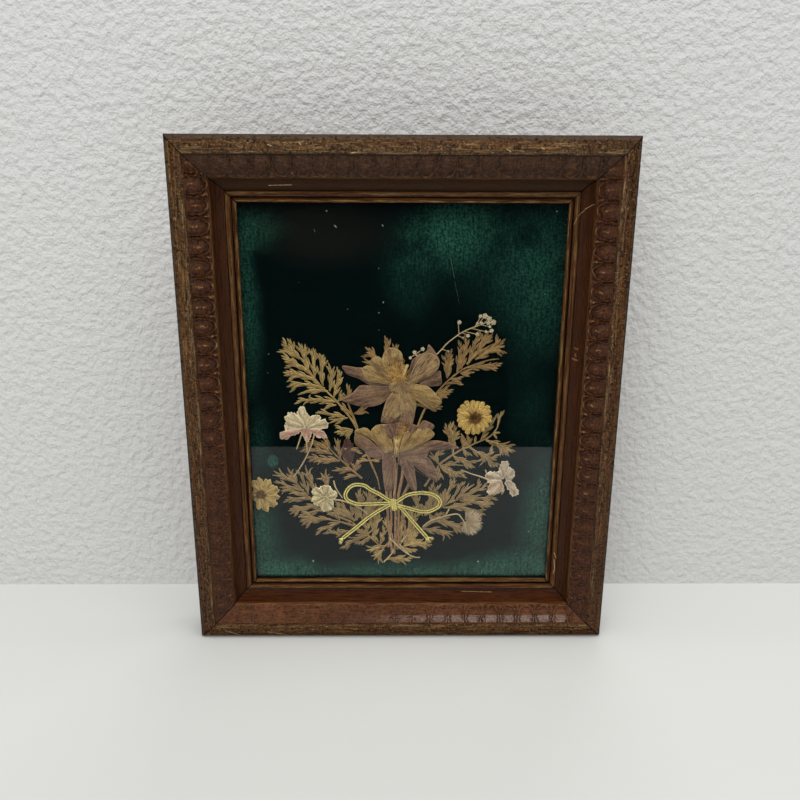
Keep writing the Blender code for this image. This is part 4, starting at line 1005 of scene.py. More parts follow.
# each leaf: its layer and tone, its ribs, and its segments as (root and bends, tips, width)
fernLeaves = {
    "leaf_upper_left": (0, 0.62, [[(-27.5, 137), (-31, 144), (-35, 149.5), (-40, 156),
        (-46, 162.5), (-50, 166.5), (-55, 173), (-58, 178), (-62, 184), (-67, 189)]], [
        ([(-41, 154.5)], [(-48, 153.5)], 2.2),
        ([(-41, 156.5), (-50, 157.5), (-58, 158)], [(-66, 157), (-62, 154), (-57, 161.5)], 4.4),
        ([(-46, 163.5), (-54, 164), (-60, 163)], [(-65, 161), (-60, 164)], 4.4),
        ([(-48, 165.5), (-55, 167), (-62, 168)], [(-69, 165), (-70, 168), (-68.5, 170)], 4.4),
        ([(-52, 169), (-57, 172), (-63, 173.5)],
         [(-70.5, 171.5), (-72, 175), (-72, 177), (-68.5, 178)], 4.6),
        ([(-57, 174.5), (-62, 179.5)], [(-72, 180), (-74, 184.5), (-73, 186)], 4.4),
        ([(-63, 184), (-66, 187)], [(-75.5, 190), (-73.5, 195.5), (-68.5, 197)], 3.0),
        ([(-40, 157), (-37.5, 160.5)], [(-36, 162.5)], 2.4),
        ([(-42.5, 159.5), (-41, 165), (-39.5, 170)], [(-36, 172.5), (-38.5, 177.5), (-40, 175)],
         4.0),
        ([(-45, 163.5), (-44, 170), (-43.5, 175)], [(-41.5, 179.5), (-45.5, 182), (-47, 180)],
         4.2),
        ([(-49, 167), (-50, 172), (-49.5, 177)], [(-47, 185.5), (-51, 188), (-49, 187)], 4.2),
        ([(-54, 172.5), (-54.5, 180)], [(-53, 190.5), (-55.5, 190.5)], 4.0),
        ([(-57.5, 178), (-60, 184)], [(-58, 192), (-61.5, 194), (-63, 192)], 4.0),
        ([(-36, 147), (-44, 148)], [(-53, 150.5), (-51, 149)], 2.8),
        ([(-34, 146), (-40, 144.5)], [(-46, 145), (-46, 142.5)], 2.6),
        ([(-31, 138)], [(-42, 139.5), (-41, 135), (-35.5, 131.5)], 2.2)]),
    "leaf_inner_left": (1, 0.45, [[(-28, 139.5), (-30.5, 147), (-34, 158), (-32.5, 168)]], [
        ([(-34, 158)], [(-32.5, 168), (-36.5, 162)], 2.4),
        ([(-30, 149), (-25, 151)], [(-21, 154), (-20.5, 149)], 2.8),
        ([(-30, 147)], [(-38, 154.5)], 2.2)]),
    "leaf_upper_right": (1, 0.7, [[(9.5, 138), (11.5, 145), (15, 153), (22, 163), (28, 170),
        (35, 176), (41, 179.5), (52.6, 183.5), (59.7, 184.5)], [(40, 181), (46, 188), (56, 194)]],
        [([(28, 172), (28, 178)], [(24.2, 182.5), (26, 186.5), (28.8, 190.2), (31.3, 187.5),
                                   (32, 182.3)], 4.6),
         ([(34, 176), (36, 186)], [(33.8, 192.3), (35.9, 195.6)], 4.4),
         ([(36.5, 178), (38.5, 190)], [(39.3, 197.7), (41.1, 195.2)], 4.2),
         ([(41, 183), (44, 193)], [(43, 196), (45, 198), (47.2, 199.8)], 4.4),
         ([(44, 185), (49, 193)], [(48.8, 200.6), (51.3, 199.8), (53.4, 199.8), (55.5, 198.5)],
          5.2),
         ([(45, 184), (56, 191)], [(58.8, 198.5), (62.6, 194.8), (63, 192), (61.3, 189.3),
                                   (62.6, 187.3)], 6.0),
         ([(40, 179), (52, 179.5)], [(58.8, 182.3), (61.3, 180.2), (58.7, 176.5), (54.7, 182.7)],
          4.4),
         ([(36, 175.5), (40, 175.5)], [(45, 176), (42, 174.5), (40.8, 173.7)], 3.6),
         ([(30, 171.5)], [(37, 171.3)], 3.2),
         ([(26, 168.5)], [(37.2, 169.6)], 2.4),
         ([(22, 163)], [(31.8, 163.2), (28.8, 165.3), (28, 160.7), (26.3, 159.2)], 2.2),
         ([(15, 153)], [(25, 152), (9, 156)], 2.2)]),
    "leaf_top": (0, 0.5, [[(-5, 165.5), (-7, 175.5), (-8.5, 187), (-9.5, 194)],
                          [(-8, 178), (-16, 186)]], [
        ([(-8, 184), (-8.6, 190)], [(-11, 196), (-9, 197.5), (-8, 196)], 3.4),
        ([(-6, 182), (-4.5, 188)], [(-6, 194), (-3.5, 194), (-2, 193.5)], 3.6),
        ([(-10, 178), (-16, 185)], [(-20.5, 191.5), (-21, 189), (-23.5, 187)], 4.2),
        ([(-12, 176), (-19, 181)], [(-24, 185), (-25, 182.5)], 3.4)]),
    "leaf_right": (0, 0.48, [
        [(24, 114.7), (29.5, 119), (33, 121.5), (38, 124.8), (42, 126.5), (46.5, 129),
         (50, 130.5), (55, 133), (58, 136), (60.5, 140), (61.5, 144.5), (62.5, 150.5)],
        [(15, 99.5), (20, 108), (24, 114.7)], [(33, 121.5), (32, 127), (31.8, 130)],
        [(53.5, 131), (59, 129.5), (66, 126)], [(43, 126.5), (48, 123), (52, 120.5), (58, 116)],
        [(24.5, 113.5), (31, 114.5), (40, 114)], [(25, 113), (30, 110.5), (38.5, 105.8)]], [
        ([(33, 123), (31.8, 130)], [(26.5, 140.5), (29.3, 142.3), (31, 143), (35, 140.5),
                                    (37, 135.8)], 3.0),
        ([(41, 127), (40.5, 131)], [(37.3, 136)], 2.2),
        ([(42, 127)], [(43.2, 133.5)], 2.0), ([(46.5, 129)], [(47, 134)], 2.0),
        ([(39, 125)], [(39.3, 131), (43, 120.5)], 2.0),
        ([(50, 130.5), (52.5, 136), (57.5, 143)], [(57.5, 146.3), (59.8, 149)], 2.6),
        ([(58, 136)], [(62.5, 136.2), (60.5, 132)], 2.0),
        ([(60.5, 140)], [(62.5, 150.5)], 2.0),
        ([(53.5, 131), (59, 129.5), (63, 127.5)],
         [(69, 130.3), (70.5, 126.5), (71, 122.5), (67, 120.3), (63, 120)], 2.8),
        ([(44, 126), (48, 123), (54, 119)],
         [(58.5, 125.5), (61.5, 119.5), (62, 113), (60, 112.5), (49.8, 113.5), (47, 116.5)], 2.8),
        ([(33, 120.5), (38, 117.5)], [(41.5, 119), (48, 115.5), (45.5, 111.5)], 2.6),
        ([(24.5, 113.5), (31, 114.5)], [(36.5, 114.3), (37, 117)], 2.4),
        ([(25, 113), (30, 110.5)], [(41.5, 107.2), (36, 105.5), (31.5, 105.2)], 2.4),
        ([(23.5, 113)], [(22.5, 105), (25, 105)], 2.0),
        ([(23.5, 115), (20.5, 120)], [(17.8, 123.5), (24.5, 124.5), (28, 124.5)], 2.2)]),
    "leaf_mid_left": (0, 0.62, [[(-25.5, 105), (-32, 111), (-37, 116), (-41, 120), (-45, 124.5),
                                (-50, 130)]], [
        ([(-39.5, 117), (-50, 118)], [(-60.5, 120.5), (-59, 118), (-56.5, 116), (-54, 114.2)],
         6.4),
        ([(-44, 121.5), (-55, 125)], [(-63.5, 125), (-62, 122.5)], 4.4),
        ([(-46, 123), (-52, 129)], [(-62, 128), (-58, 131.5)], 4.4),
        ([(-46, 125), (-48, 129)], [(-50, 133.5), (-47, 133.5)], 3.0),
        ([(-39, 118.5), (-40.5, 126)], [(-42.8, 133), (-40.5, 132.5), (-38.8, 131.5)], 3.6),
        ([(-31, 110.5), (-38, 110.5)], [(-45, 110.3), (-42.5, 112.7)], 3.4),
        ([(-30, 109.5)], [(-31, 115.5), (-27, 116)], 2.4), ([(-28, 107)], [(-37.5, 105.5)], 2.6),
        ([(-34, 113)], [(-35.5, 118.5)], 2.2)]),
    "leaf_lower_left": (1, 0.66, [[(-32.5, 74.5), (-38, 77), (-45, 80), (-52, 85), (-58, 90),
                                   (-63, 96), (-68, 103), (-71, 108)]], [
        ([(-68, 102), (-76, 106.5)], [(-83, 107.5), (-82, 110.5), (-78.5, 112.7)], 4.8),
        ([(-67, 101), (-71, 108)], [(-73, 113), (-69, 112)], 4.4),
        ([(-55, 94), (-60.5, 108)], [(-61.5, 114.5), (-56.7, 112.8), (-65, 109)], 5.2),
        ([(-63, 97), (-72, 99)], [(-81, 104), (-79, 99), (-77.7, 94.2)], 5.6),
        ([(-57, 91), (-67, 91)], [(-75.8, 90.3), (-73.5, 88), (-72.5, 91.5)], 5.4),
        ([(-54, 85.5), (-63, 85)], [(-73, 84), (-72, 82), (-70, 80.2)], 5.0),
        ([(-48, 83), (-50, 90)], [(-50, 97), (-46, 93)], 3.4),
        ([(-59, 92), (-67, 95.5)], [(-77, 98), (-73, 94.5)], 3.2),
        ([(-50, 84), (-58, 81.5)], [(-67, 79.5), (-64, 77.5)], 3.0),
        ([(-60, 94), (-63, 102)], [(-66, 111), (-63.5, 109)], 2.8)]),
    "leaf_low_left": (2, 0.72, [[(-28.5, 71.5), (-34, 73), (-40, 75), (-50, 77), (-58, 77)]], [
        ([(-46, 77), (-56, 76.5)], [(-60.5, 81), (-64.3, 79.5), (-66, 76.7), (-65, 74),
                                    (-62.5, 72.3)], 5.4),
        ([(-40, 74.5), (-48, 71)], [(-53.5, 71), (-56, 67.2)], 4.2),
        ([(-34, 68.5), (-42, 66)], [(-49.7, 68), (-44.5, 69.5), (-41, 71)], 3.6),
        ([(-40, 76), (-45, 81)], [(-53, 84), (-49, 84.5)], 2.8)]),
    "leaf_behind_white": (2, 0.5, [[(-44, 83), (-47.5, 93.5), (-49, 104)]], [
        ([(-48.5, 99), (-49, 105)], [(-55, 105), (-52, 109.5), (-48.3, 112.3), (-46, 108.7),
                                     (-43.8, 106.5)], 3.4)]),
    "leaf_inner_low": (2, 0.55, [[(-30.5, 75.5), (-33.5, 80), (-36.5, 85)]], [
        ([(-33.5, 77), (-36.5, 83)], [(-41, 89.5), (-37.5, 88.5), (-36, 83.5)], 2.8),
        ([(-33, 77)], [(-31.5, 86)], 2.2), ([(-38, 79.5)], [(-47.5, 82), (-45.5, 86)], 2.4),
        ([(-30, 76)], [(-28.5, 87), (-26, 83)], 2.2),
        ([(-29, 76), (-27.5, 85)], [(-28, 98), (-25, 95.5), (-23.5, 91.5)], 2.8),
        ([(-26, 77), (-21, 86)], [(-19, 99), (-15.5, 96), (-23, 97)], 2.4),
        ([(-25, 78)], [(-13, 92), (-12, 86), (-17, 90)], 2.2),
        ([(-31, 76)], [(-43, 87.5), (-40, 82)], 2.2)]),
    "leaf_short_left": (2, 0.8, [[(-17, 71), (-22, 66.5), (-30, 62.5)]], [
        ([(-22, 65), (-30, 62.5)], [(-38.7, 54.8), (-37.3, 58), (-34, 60.5), (-36, 64.5)], 5.2),
        ([(-20, 64.5)], [(-23, 60), (-28.5, 58)], 2.6)]),
    "leaf_bottom_left": (0, 0.6, [[(-26.5, 69), (-18, 61), (-11, 53.5)], [(-7.5, 60),
                                   (-12, 55), (-15, 49)]], [
        ([(-11, 57), (-17, 54.5)], [(-23.5, 57), (-23.5, 53.5), (-21, 52)], 4.6),
        ([(-12, 54), (-15, 50)], [(-20, 49.5), (-18.5, 46.5), (-15, 43.5), (-12, 44)], 4.4),
        ([(-20, 78), (-18.5, 69)], [(-17, 60)], 4.6),
        ([(-18, 62), (-16.5, 72)], [(-16, 84), (-13.5, 79), (-19, 81)], 3.2),
        ([(-22, 66), (-24.5, 74)], [(-22, 84), (-27, 80)], 2.8),
        ([(-14, 57)], [(-10.5, 71), (-12, 66)], 2.2),
        ([(-20, 63), (-27, 68)], [(-35, 74), (-33, 70)], 2.4)]),
    "leaf_bottom_right": (2, 0.5, [[(-3, 55.5), (4, 58), (12, 60)]], [
        ([(2, 58.5), (11, 59.5)], [(20.5, 60.3), (19.3, 57), (16.7, 54.7), (15, 63)], 4.6),
        ([(3, 60)], [(11, 65.5), (10, 67.5), (5.5, 67)], 3.0),
        ([(1, 56)], [(10, 53)], 3.0), ([(4, 58), (7, 63)], [(9, 73), (11.5, 69)], 2.6),
        ([(2, 58)], [(3, 70), (6, 66)], 2.2),
        ([(3, 58), (6, 72)], [(8, 86), (11.5, 82), (4, 84)], 2.4),
        ([(-1, 57), (0, 68)], [(2, 82), (-2, 79)], 2.2),
        ([(-2, 56), (-8, 66)], [(-11, 78), (-7.5, 76)], 2.2)]),
    "leaf_foot": (1, 0.74, [[(-9.5, 47.5), (-3, 48.5), (2, 48)]], [
        ([(-9, 48), (-1, 47.5)], [(8, 48), (5.5, 45.7), (3.5, 51), (3.5, 42.8)], 4.8)]),
    "leaf_lower_right": (2, 0.58, [[(15, 79.5), (24, 84.5), (30, 88), (36, 90.5), (44, 93)]], [
        ([(28, 88), (30, 96)], [(33, 104), (35.5, 104.5), (31.5, 99)], 3.6),
        ([(34, 92.5)], [(39.5, 103.5)], 3.2),
        ([(35.5, 91), (41, 97)], [(43.5, 102.5), (47, 101.5)], 3.8),
        ([(39, 92.5), (47, 96)], [(51, 104), (56, 101)], 4.2),
        ([(40, 91), (50, 91.5)], [(57.5, 92), (62, 92)], 4.2),
        ([(38, 90), (48, 89)], [(59.5, 89), (58.5, 86.8), (56.5, 84.5)], 4.6),
        ([(27, 85), (38, 85), (46, 83.5)], [(53.5, 82), (53, 79)], 4.2),
        ([(30, 88)], [(34.5, 92)], 2.4), ([(34, 88)], [(40, 86.5)], 2.4),
        ([(20, 83)], [(24, 95), (27, 92)], 2.2), ([(18, 81), (22, 76)], [(32, 78), (28, 73)], 2.8),
        ([(16, 80)], [(18, 92), (13, 88)], 2.2),
        ([(17, 81), (20, 90)], [(19, 102), (23.5, 101), (15.5, 97)], 2.4),
        ([(14, 79), (10, 86)], [(6, 96), (10.5, 95)], 2.2),
        ([(26, 86)], [(27, 97), (30, 94)], 2.2)]),
    "leaf_low_right": (1, 0.68, [[(13, 69), (20, 74), (28, 75.5), (36, 72)]], [
        ([(14.5, 69.5), (28, 67.5)], [(34.8, 67.3), (34.5, 64.5), (32.5, 62), (27.5, 60.5)],
         5.6),
        ([(24, 75.5), (32, 72.5)], [(40, 66), (41, 69), (42, 73)], 5.0),
        ([(18, 73)], [(26.5, 82), (30, 79)], 3.2)]),
    "leaf_thin": (3, 0.3, [[(-22.5, 124), (-19, 115), (-15.5, 106), (-14, 98)]], [
        ([(-36.5, 126)], [(-26, 124.5)], 2.4), ([(-22, 122)], [(-25.5, 120)], 1.8),
        ([(-20, 118)], [(-29, 117.5), (-13, 119)], 1.6)])}

pressedLook = {  # base, dark and pale
    "fern": ((172, 144, 84), (92, 68, 36), (212, 188, 126)),
    "brownFern": ((154, 124, 74), (80, 54, 30), (194, 164, 110)),
    "greyFern": ((152, 126, 78), (82, 62, 38), (192, 168, 118)),
    "stem": ((148, 110, 72), (76, 50, 36), (200, 168, 122)),
    "stalk": ((180, 158, 112), (122, 98, 66), (222, 206, 162))}
brownLeaves = ("leaf_upper_right", "leaf_top", "leaf_mid_left", "leaf_inner_left", "leaf_thin")
greyLeaves = ("leaf_lower_left", "leaf_low_left", "leaf_lower_right", "leaf_low_right",
              "leaf_behind_white", "leaf_inner_low", "leaf_short_left", "leaf_right")


def buildPressed(name, colours, veinPull=0.35, veinScale=2.2, rough=0.6, rib=0.5, rim=0.0,
                 rimWide=0.7):
    # dried plant: base, dark and pale tones in blotches, veins along the piece, a pale rim,
    # and, where a fourth colour is given, that one over wide patches
    material, shader = newMaterial(name)
    base, dark, pale, *blush = (tint(*colour) for colour in colours)
    lay = attribute("lay")
    tone = attribute("tone", "Fac")
    across, along, fromRim = splitVector(lay)
    place = objectPlace()
    cloud, _ = mottled(place, 150.0, 0.36, 0.64)
    blotch, blotchHigh = mottled(place, 900.0, 0.42, 0.66, detail=3.0)
    veins, veinsHigh = streaked(lay, (veinScale, 0.12, 0.0), 0.42, 0.58)
    colour = base
    if blush:
        wide, _ = mottled(place, 70.0, 0.4, 0.6, detail=3.0)
        colour = mixColour(times(wide, 0.7), base, blush[0])
    share = scaled(cloud, 0.45, scaled(tone, 0.7, -0.2), clamp=True)
    colour = mixColour(share, colour, dark)
    colour = mixColour(times(veins, veinPull), colour, pale)
    colour = mixColour(times(blotch, 0.4), colour, dark)
    if rib:
        middle = mathNode("ABSOLUTE", across)
        colour = mixColour(rangeNode(middle, 0.04, 0.22, rib, 0.0), colour, dark)
    else:
        lines, _ = streaked(lay, (veinScale * 2.2, 0.05, 0.0), 0.54, 0.62)
        colour = mixColour(times(lines, 0.75), colour, dark)
        colour = mixColour(rangeNode(along, 0.5, 6.0, 0.5, 0.0), colour, dark)
    if rim:
        colour = mixColour(rangeNode(fromRim, 0.03, rimWide, rim, 0.0), colour, pale)
    plugAll(shader, {"Base Color": colour, "Roughness": rough, "Specular IOR Level": 0.15})
    addBumps(shader, (veinsHigh, 0.7, 0.0003), (blotchHigh, 0.6, 0.0003))
    return material


fern = buildPressed("driedFern", pressedLook["fern"], rim=0.65, rimWide=0.3)
brownFern = buildPressed("driedBrownFern", pressedLook["brownFern"], rim=0.55, rimWide=0.3)
greyFern = buildPressed("driedGreyFern", pressedLook["greyFern"], rim=0.55, rimWide=0.3)
stemSkin = buildPressed("driedStem", pressedLook["stem"], 0.5, 2.5, rib=0.0)
stalk = buildPressed("paleStalk", pressedLook["stalk"], 0.5, 2.5, rib=0.1)


def makeLeaf(name):
    layer, tone, ribs, segments = fernLeaves[name]
    y = leafShape["front"] - leafShape["pitch"] * layer
    bm = bmesh.new()
    for rib in ribs:
        tube(bm, rib, leafShape["rib"], y - leafShape["ribRise"], flat=0.4, tone=tone * 0.5)
    for stem, tips, width in segments:
        frond(bm, stem, tips, width, y, tone)
    skin = brownFern if name in brownLeaves else greyFern if name in greyLeaves else fern
    settle(meshPiece(name + "_veined", bm, skin), name)


for leafName in fernLeaves:
    makeLeaf(leafName)
print("leaves laid")


# velvet, glass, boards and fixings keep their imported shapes
velvetLook = tints({"pile": (1, 11, 10), "worn": (46, 92, 76), "dust": (190, 194, 182),
                    "haze": (52, 44, 36)})
velvetHaze = ((-46, 262), (56, 30), 0.8)
velvetDent = ((-82.3, 116.8), (4.2, 5.0), 0.35)
velvetMarks = (
    ((28.5, 246), (31, 234), 0.06), ((31.4, 232), (34.5, 218), 0.05),
    ((-58.5, 45.5), (-58.5, 45.6), 1.1), ((51.3, 45), (51.3, 45.1), 0.8),
    ((28.5, 173.5), (28.5, 173.6), 0.8), ((-44.5, 273), (-44.5, 272.9), 0.9),
    ((-40, 264.5), (-39, 263.5), 0.7), ((90, 273), (90, 273.1), 0.7),
    ((84, 67), (84, 67.1), 0.6), ((-62, 231), (-62, 231.1), 0.5),
    ((-33, 215), (-33, 215.1), 0.5), ((-11.5, 219), (-11.5, 219.5), 0.6),
    ((-82, 187), (-82, 187.1), 0.6), ((-83, 175), (-83, 175.1), 0.6),
    ((-52, 262), (-51.6, 261), 0.4), ((-12, 265), (-11.5, 264.3), 0.5))
velvetPatches = (  # brushed places: centre, reach and strength
    ((28, 260), (36, 28), 0.75), ((6, 240), (26, 40), 0.25), ((84, 232), (38, 70), 0.45),
    ((52, 246), (40, 40), 0.2), ((-97, 215), (14, 78), 0.8), ((-90, 262), (30, 20), 0.5),
    ((95, 78), (25, 62), 0.9), ((-98, 66), (24, 50), 1.0), ((-92, 128), (14, 40), 0.25),
    ((-78, 36), (36, 18), 1.1), ((76, 38), (46, 20), 1.2), ((0, 36), (96, 13), 0.9),
    ((82, 152), (22, 34), 0.12))


def patchMask(place, centre, reach, soft, wander=None):
    # an oval patch on the board, 1 in its middle: centre and reach in millimetres
    move = addNode("ShaderNodeMapping", {"Vector": place,
                   "Location": (-centre[0] / reach[0], 0.0, -centre[1] / reach[1]),
                   "Scale": (1 / reach[0] / mm, 0.0, 1 / reach[1] / mm)})
    far = vectorNode("LENGTH", {0: move.outputs[0]}, "Value")
    if wander:
        far = scaled(wander, 1.3, mathNode("SUBTRACT", far, 0.65))
    return rangeNode(far, 1 - soft, 1.0, 1.0, 0.0)


def buildVelvet():
    material, shader = newMaterial("greenVelvet")
    place = objectPlace()
    x, _, z = splitVector(place)
    cloud, cloudHigh = mottled(place, 34.0, 0.34, 0.66, detail=6.0, rough=0.62)
    nap, napHigh = mottled(place, 620.0, 0.44, 0.6, detail=3.0)
    brush, _ = streaked(place, (900.0, 0.0, 110.0), 0.4, 0.62)
    patches = []
    for centre, reach, strength in velvetPatches:
        patches.append(times(patchMask(place, centre, reach, 0.95, cloudHigh), strength))
    # painted shade: along the left and bottom edges, under the lip, the worn patches fade out and
    # the pile stays dark
    edge = times(rangeNode(x, -0.099, -0.0955), rangeNode(z, 0.0335, 0.0365))
    wornShare = mathNode("MULTIPLY", chained("ADD", patches), edge, clamp=True)
    wornShare = times(wornShare, scaled(cloud, 0.6, 0.5))
    wornShare = most(wornShare, times(patchMask(place, *velvetDent), 0.7))
    grains = scaled(brush, 0.5, scaled(nap, 0.7, 0.2))
    wornShare = mathNode("MULTIPLY", wornShare, grains, clamp=True)
    colour = mixColour(wornShare, velvetLook["pile"], velvetLook["worn"])
    haze = times(patchMask(place, *velvetHaze), 0.18)
    colour = mixColour(haze, colour, velvetLook["haze"])
    dust, = useGroup(specks, Vector=place, Scale=210.0, Size=0.1, Share=0.03)
    dust = most(times(dust, 0.3), times(addMarks(place, velvetMarks), 0.75))
    colour = mixColour(dust, colour, velvetLook["dust"])
    plugAll(shader, {"Base Color": colour, "Roughness": 0.95, "Specular IOR Level": 0.0})
    addBumps(shader, (napHigh, 0.2, 0.0002))
    return material


def buildGlass():
    material, shader = newMaterial("clearPane")
    smear, _ = mottled(objectPlace(), 30.0, 0.5, 0.8)
    plugAll(shader, {"Base Color": (1, 1, 1, 1), "Transmission Weight": 1.0, "IOR": 1.5,
                     "Roughness": times(smear, 0.02)})
    return material


def buildBoard():
    material, shader = newMaterial("brownFibreboard")
    place = objectPlace()
    flock, flockHigh = mottled(place, 950.0, 0.36, 0.7, detail=5.0)
    cloud, _ = mottled(place, 26.0, 0.4, 0.65)
    colour = mixColour(flock, tint(122, 92, 60), tint(96, 70, 44))
    colour = mixColour(times(cloud, 0.4), colour, tint(140, 116, 84))
    plugAll(shader, {"Base Color": colour, "Roughness": 0.85})
    addBumps(shader, (flockHigh, 0.5, 0.0003))
    return material


def buildSteel():
    material, shader = newMaterial("dullSteel")
    place = objectPlace()
    scratch, scratchHigh = streaked(place, (60.0, 60.0, 900.0))
    rust, _ = mottled(place, 210.0, 0.56, 0.68)
    colour = mixColour(scratch, tint(150, 150, 148), tint(112, 112, 112))
    colour = mixColour(rust, colour, tint(104, 66, 42))
    plugAll(shader, {"Base Color": colour, "Metallic": scaled(rust, -0.8, 0.95),
                     "Roughness": scaled(rust, 0.4, 0.38)})
    addBumps(shader, (scratchHigh, 0.25, 0.0001))
    return material


def dressNode(name, material):
    for slot in nodes[name].material_slots:
        slot.material = material


dressNode("velvet_board", buildVelvet())
dressNode("glass_pane", buildGlass())
nodes["glass_pane"].visible_shadow = False
dressNode("backing_board", buildBoard())
steel = buildSteel()
for nodeName in nodes:
    if nodeName.startswith(("point_", "hanger")):
        dressNode(nodeName, steel)
print("velvet, glass and back dressed")


# stalks under the knot, and loose strands
stalks = {"depth": 4.15, "radii": (1.0, 0.75), "routes": (
    [(-10.5, 116.5), (-9.8, 104.5), (-9.3, 92), (-8.8, 80), (-7.5, 64), (-8.6, 57)],
    [(-7.2, 116.5), (-7, 104.5), (-7, 90.5), (-6.6, 76), (-7, 64), (-6, 53)],
    [(-3.2, 116.5), (-3.8, 104.5), (-4.6, 92), (-4, 82), (-4, 65), (-4.6, 52)],
    [(1.5, 115.5), (0, 104.5), (-2.2, 92), (-1.8, 82), (-2, 66), (-1.4, 56)],
    [(8, 112.5), (4.6, 101.5), (0.2, 91), (1, 80), (2.4, 71), (3.6, 61.5)])}
strands = {"depth": 3.3, "radii": (0.5, 0.35), "routes": (
    [(-7.5, 64), (-3, 59), (1, 55), (5, 52), (9, 50), (12.5, 50)],
    [(-1, 59.5), (2, 55.5), (5, 52.5)], [(0, 61), (4, 66.5)],
    [(-11.5, 46.5), (-6, 53), (-5.5, 56)], [(-43.5, 104.5), (-42, 99), (-38, 92.5)])}
knag = {"depth": 3.4, "radii": (0.8, 0.5), "route": [(-3.5, 69), (-3.4, 66), (-3.6, 63)]}
whiteStalk = {"depth": 3.7, "radii": (0.65, 0.4), "route": [
    (-47.5, 91.3), (-41, 91), (-37, 90), (-31, 87.5), (-26, 84.5), (-22, 81)]}
petalLook = {  # base, dark, pale and blush
    "mauve": ((108, 80, 64), (54, 36, 30), (152, 122, 96), (130, 108, 74)),
    "tan": ((138, 112, 66), (78, 56, 34), (186, 160, 106), (114, 90, 60)),
    "cream": ((180, 164, 124), (118, 96, 66), (236, 226, 190), (182, 156, 120)),
    "ivory": ((182, 166, 118), (92, 76, 44), (240, 230, 186), (168, 148, 98)),
    "ash": ((170, 152, 122), (98, 78, 58), (228, 218, 190), (154, 130, 102)),
    "pink": ((178, 136, 112), (122, 84, 68), (232, 208, 178), (192, 164, 130)),
    "beige": ((168, 144, 112), (98, 76, 56), (226, 210, 178), (180, 148, 120)),
    "fluff": ((188, 170, 134), (116, 96, 70), (236, 224, 194), (170, 146, 112)),
    "yellow": ((184, 148, 72), (104, 70, 30), (232, 206, 128), (160, 124, 60)),
    "dusk": ((154, 130, 74), (96, 72, 40), (204, 182, 112), (136, 108, 62)),
    "amber": ((192, 146, 74), (84, 52, 22), (244, 208, 128), (156, 108, 50)),
    "moss": ((142, 116, 76), (70, 50, 36), (184, 158, 110), (120, 94, 66)),
    "straw": ((196, 170, 108), (120, 92, 48), (228, 206, 150), (170, 140, 84)),
    "dark": ((58, 34, 34), (32, 18, 20), (98, 70, 56), (80, 50, 36)),
    "brown": ((118, 76, 34), (66, 40, 18), (160, 116, 54), (134, 92, 42))}
petalSkins = {}
for skin, colours in petalLook.items():
    petalSkins[skin] = buildPressed("petal" + skin.capitalize(), colours, 0.5, 1.5, 0.65,
                                    rib=0.0, rim=0.55)


def skins(*names):
    return [petalSkins[name] for name in names]


def makeStems():
    for number, route in enumerate(stalks["routes"], start=1):
        bm = bmesh.new()
        tube(bm, route, stalks["radii"], stalks["depth"], sides=10, flat=0.5, ridge=0.12,
             tone=0.3 + 0.1 * number)
        paleFrom = len(bm.faces)
        if number == 1:
            for strandRoute in strands["routes"]:
                tube(bm, strandRoute, strands["radii"], strands["depth"], sides=6, tone=-0.2)
            paintFrom(bm, paleFrom, 1)
        if number == 3:
            tube(bm, knag["route"], knag["radii"], knag["depth"], tone=0.05)
        settle(meshPiece(f"stem_{number}_ridged", bm, stemSkin, stalk),
               f"stem_{number}")
    bm = bmesh.new()
    tube(bm, whiteStalk["route"], whiteStalk["radii"], whiteStalk["depth"], tone=0.1)
    settle(meshPiece("stalk_white_ridged", bm, stalk), "stalk_white")


makeStems()
print("stems laid")


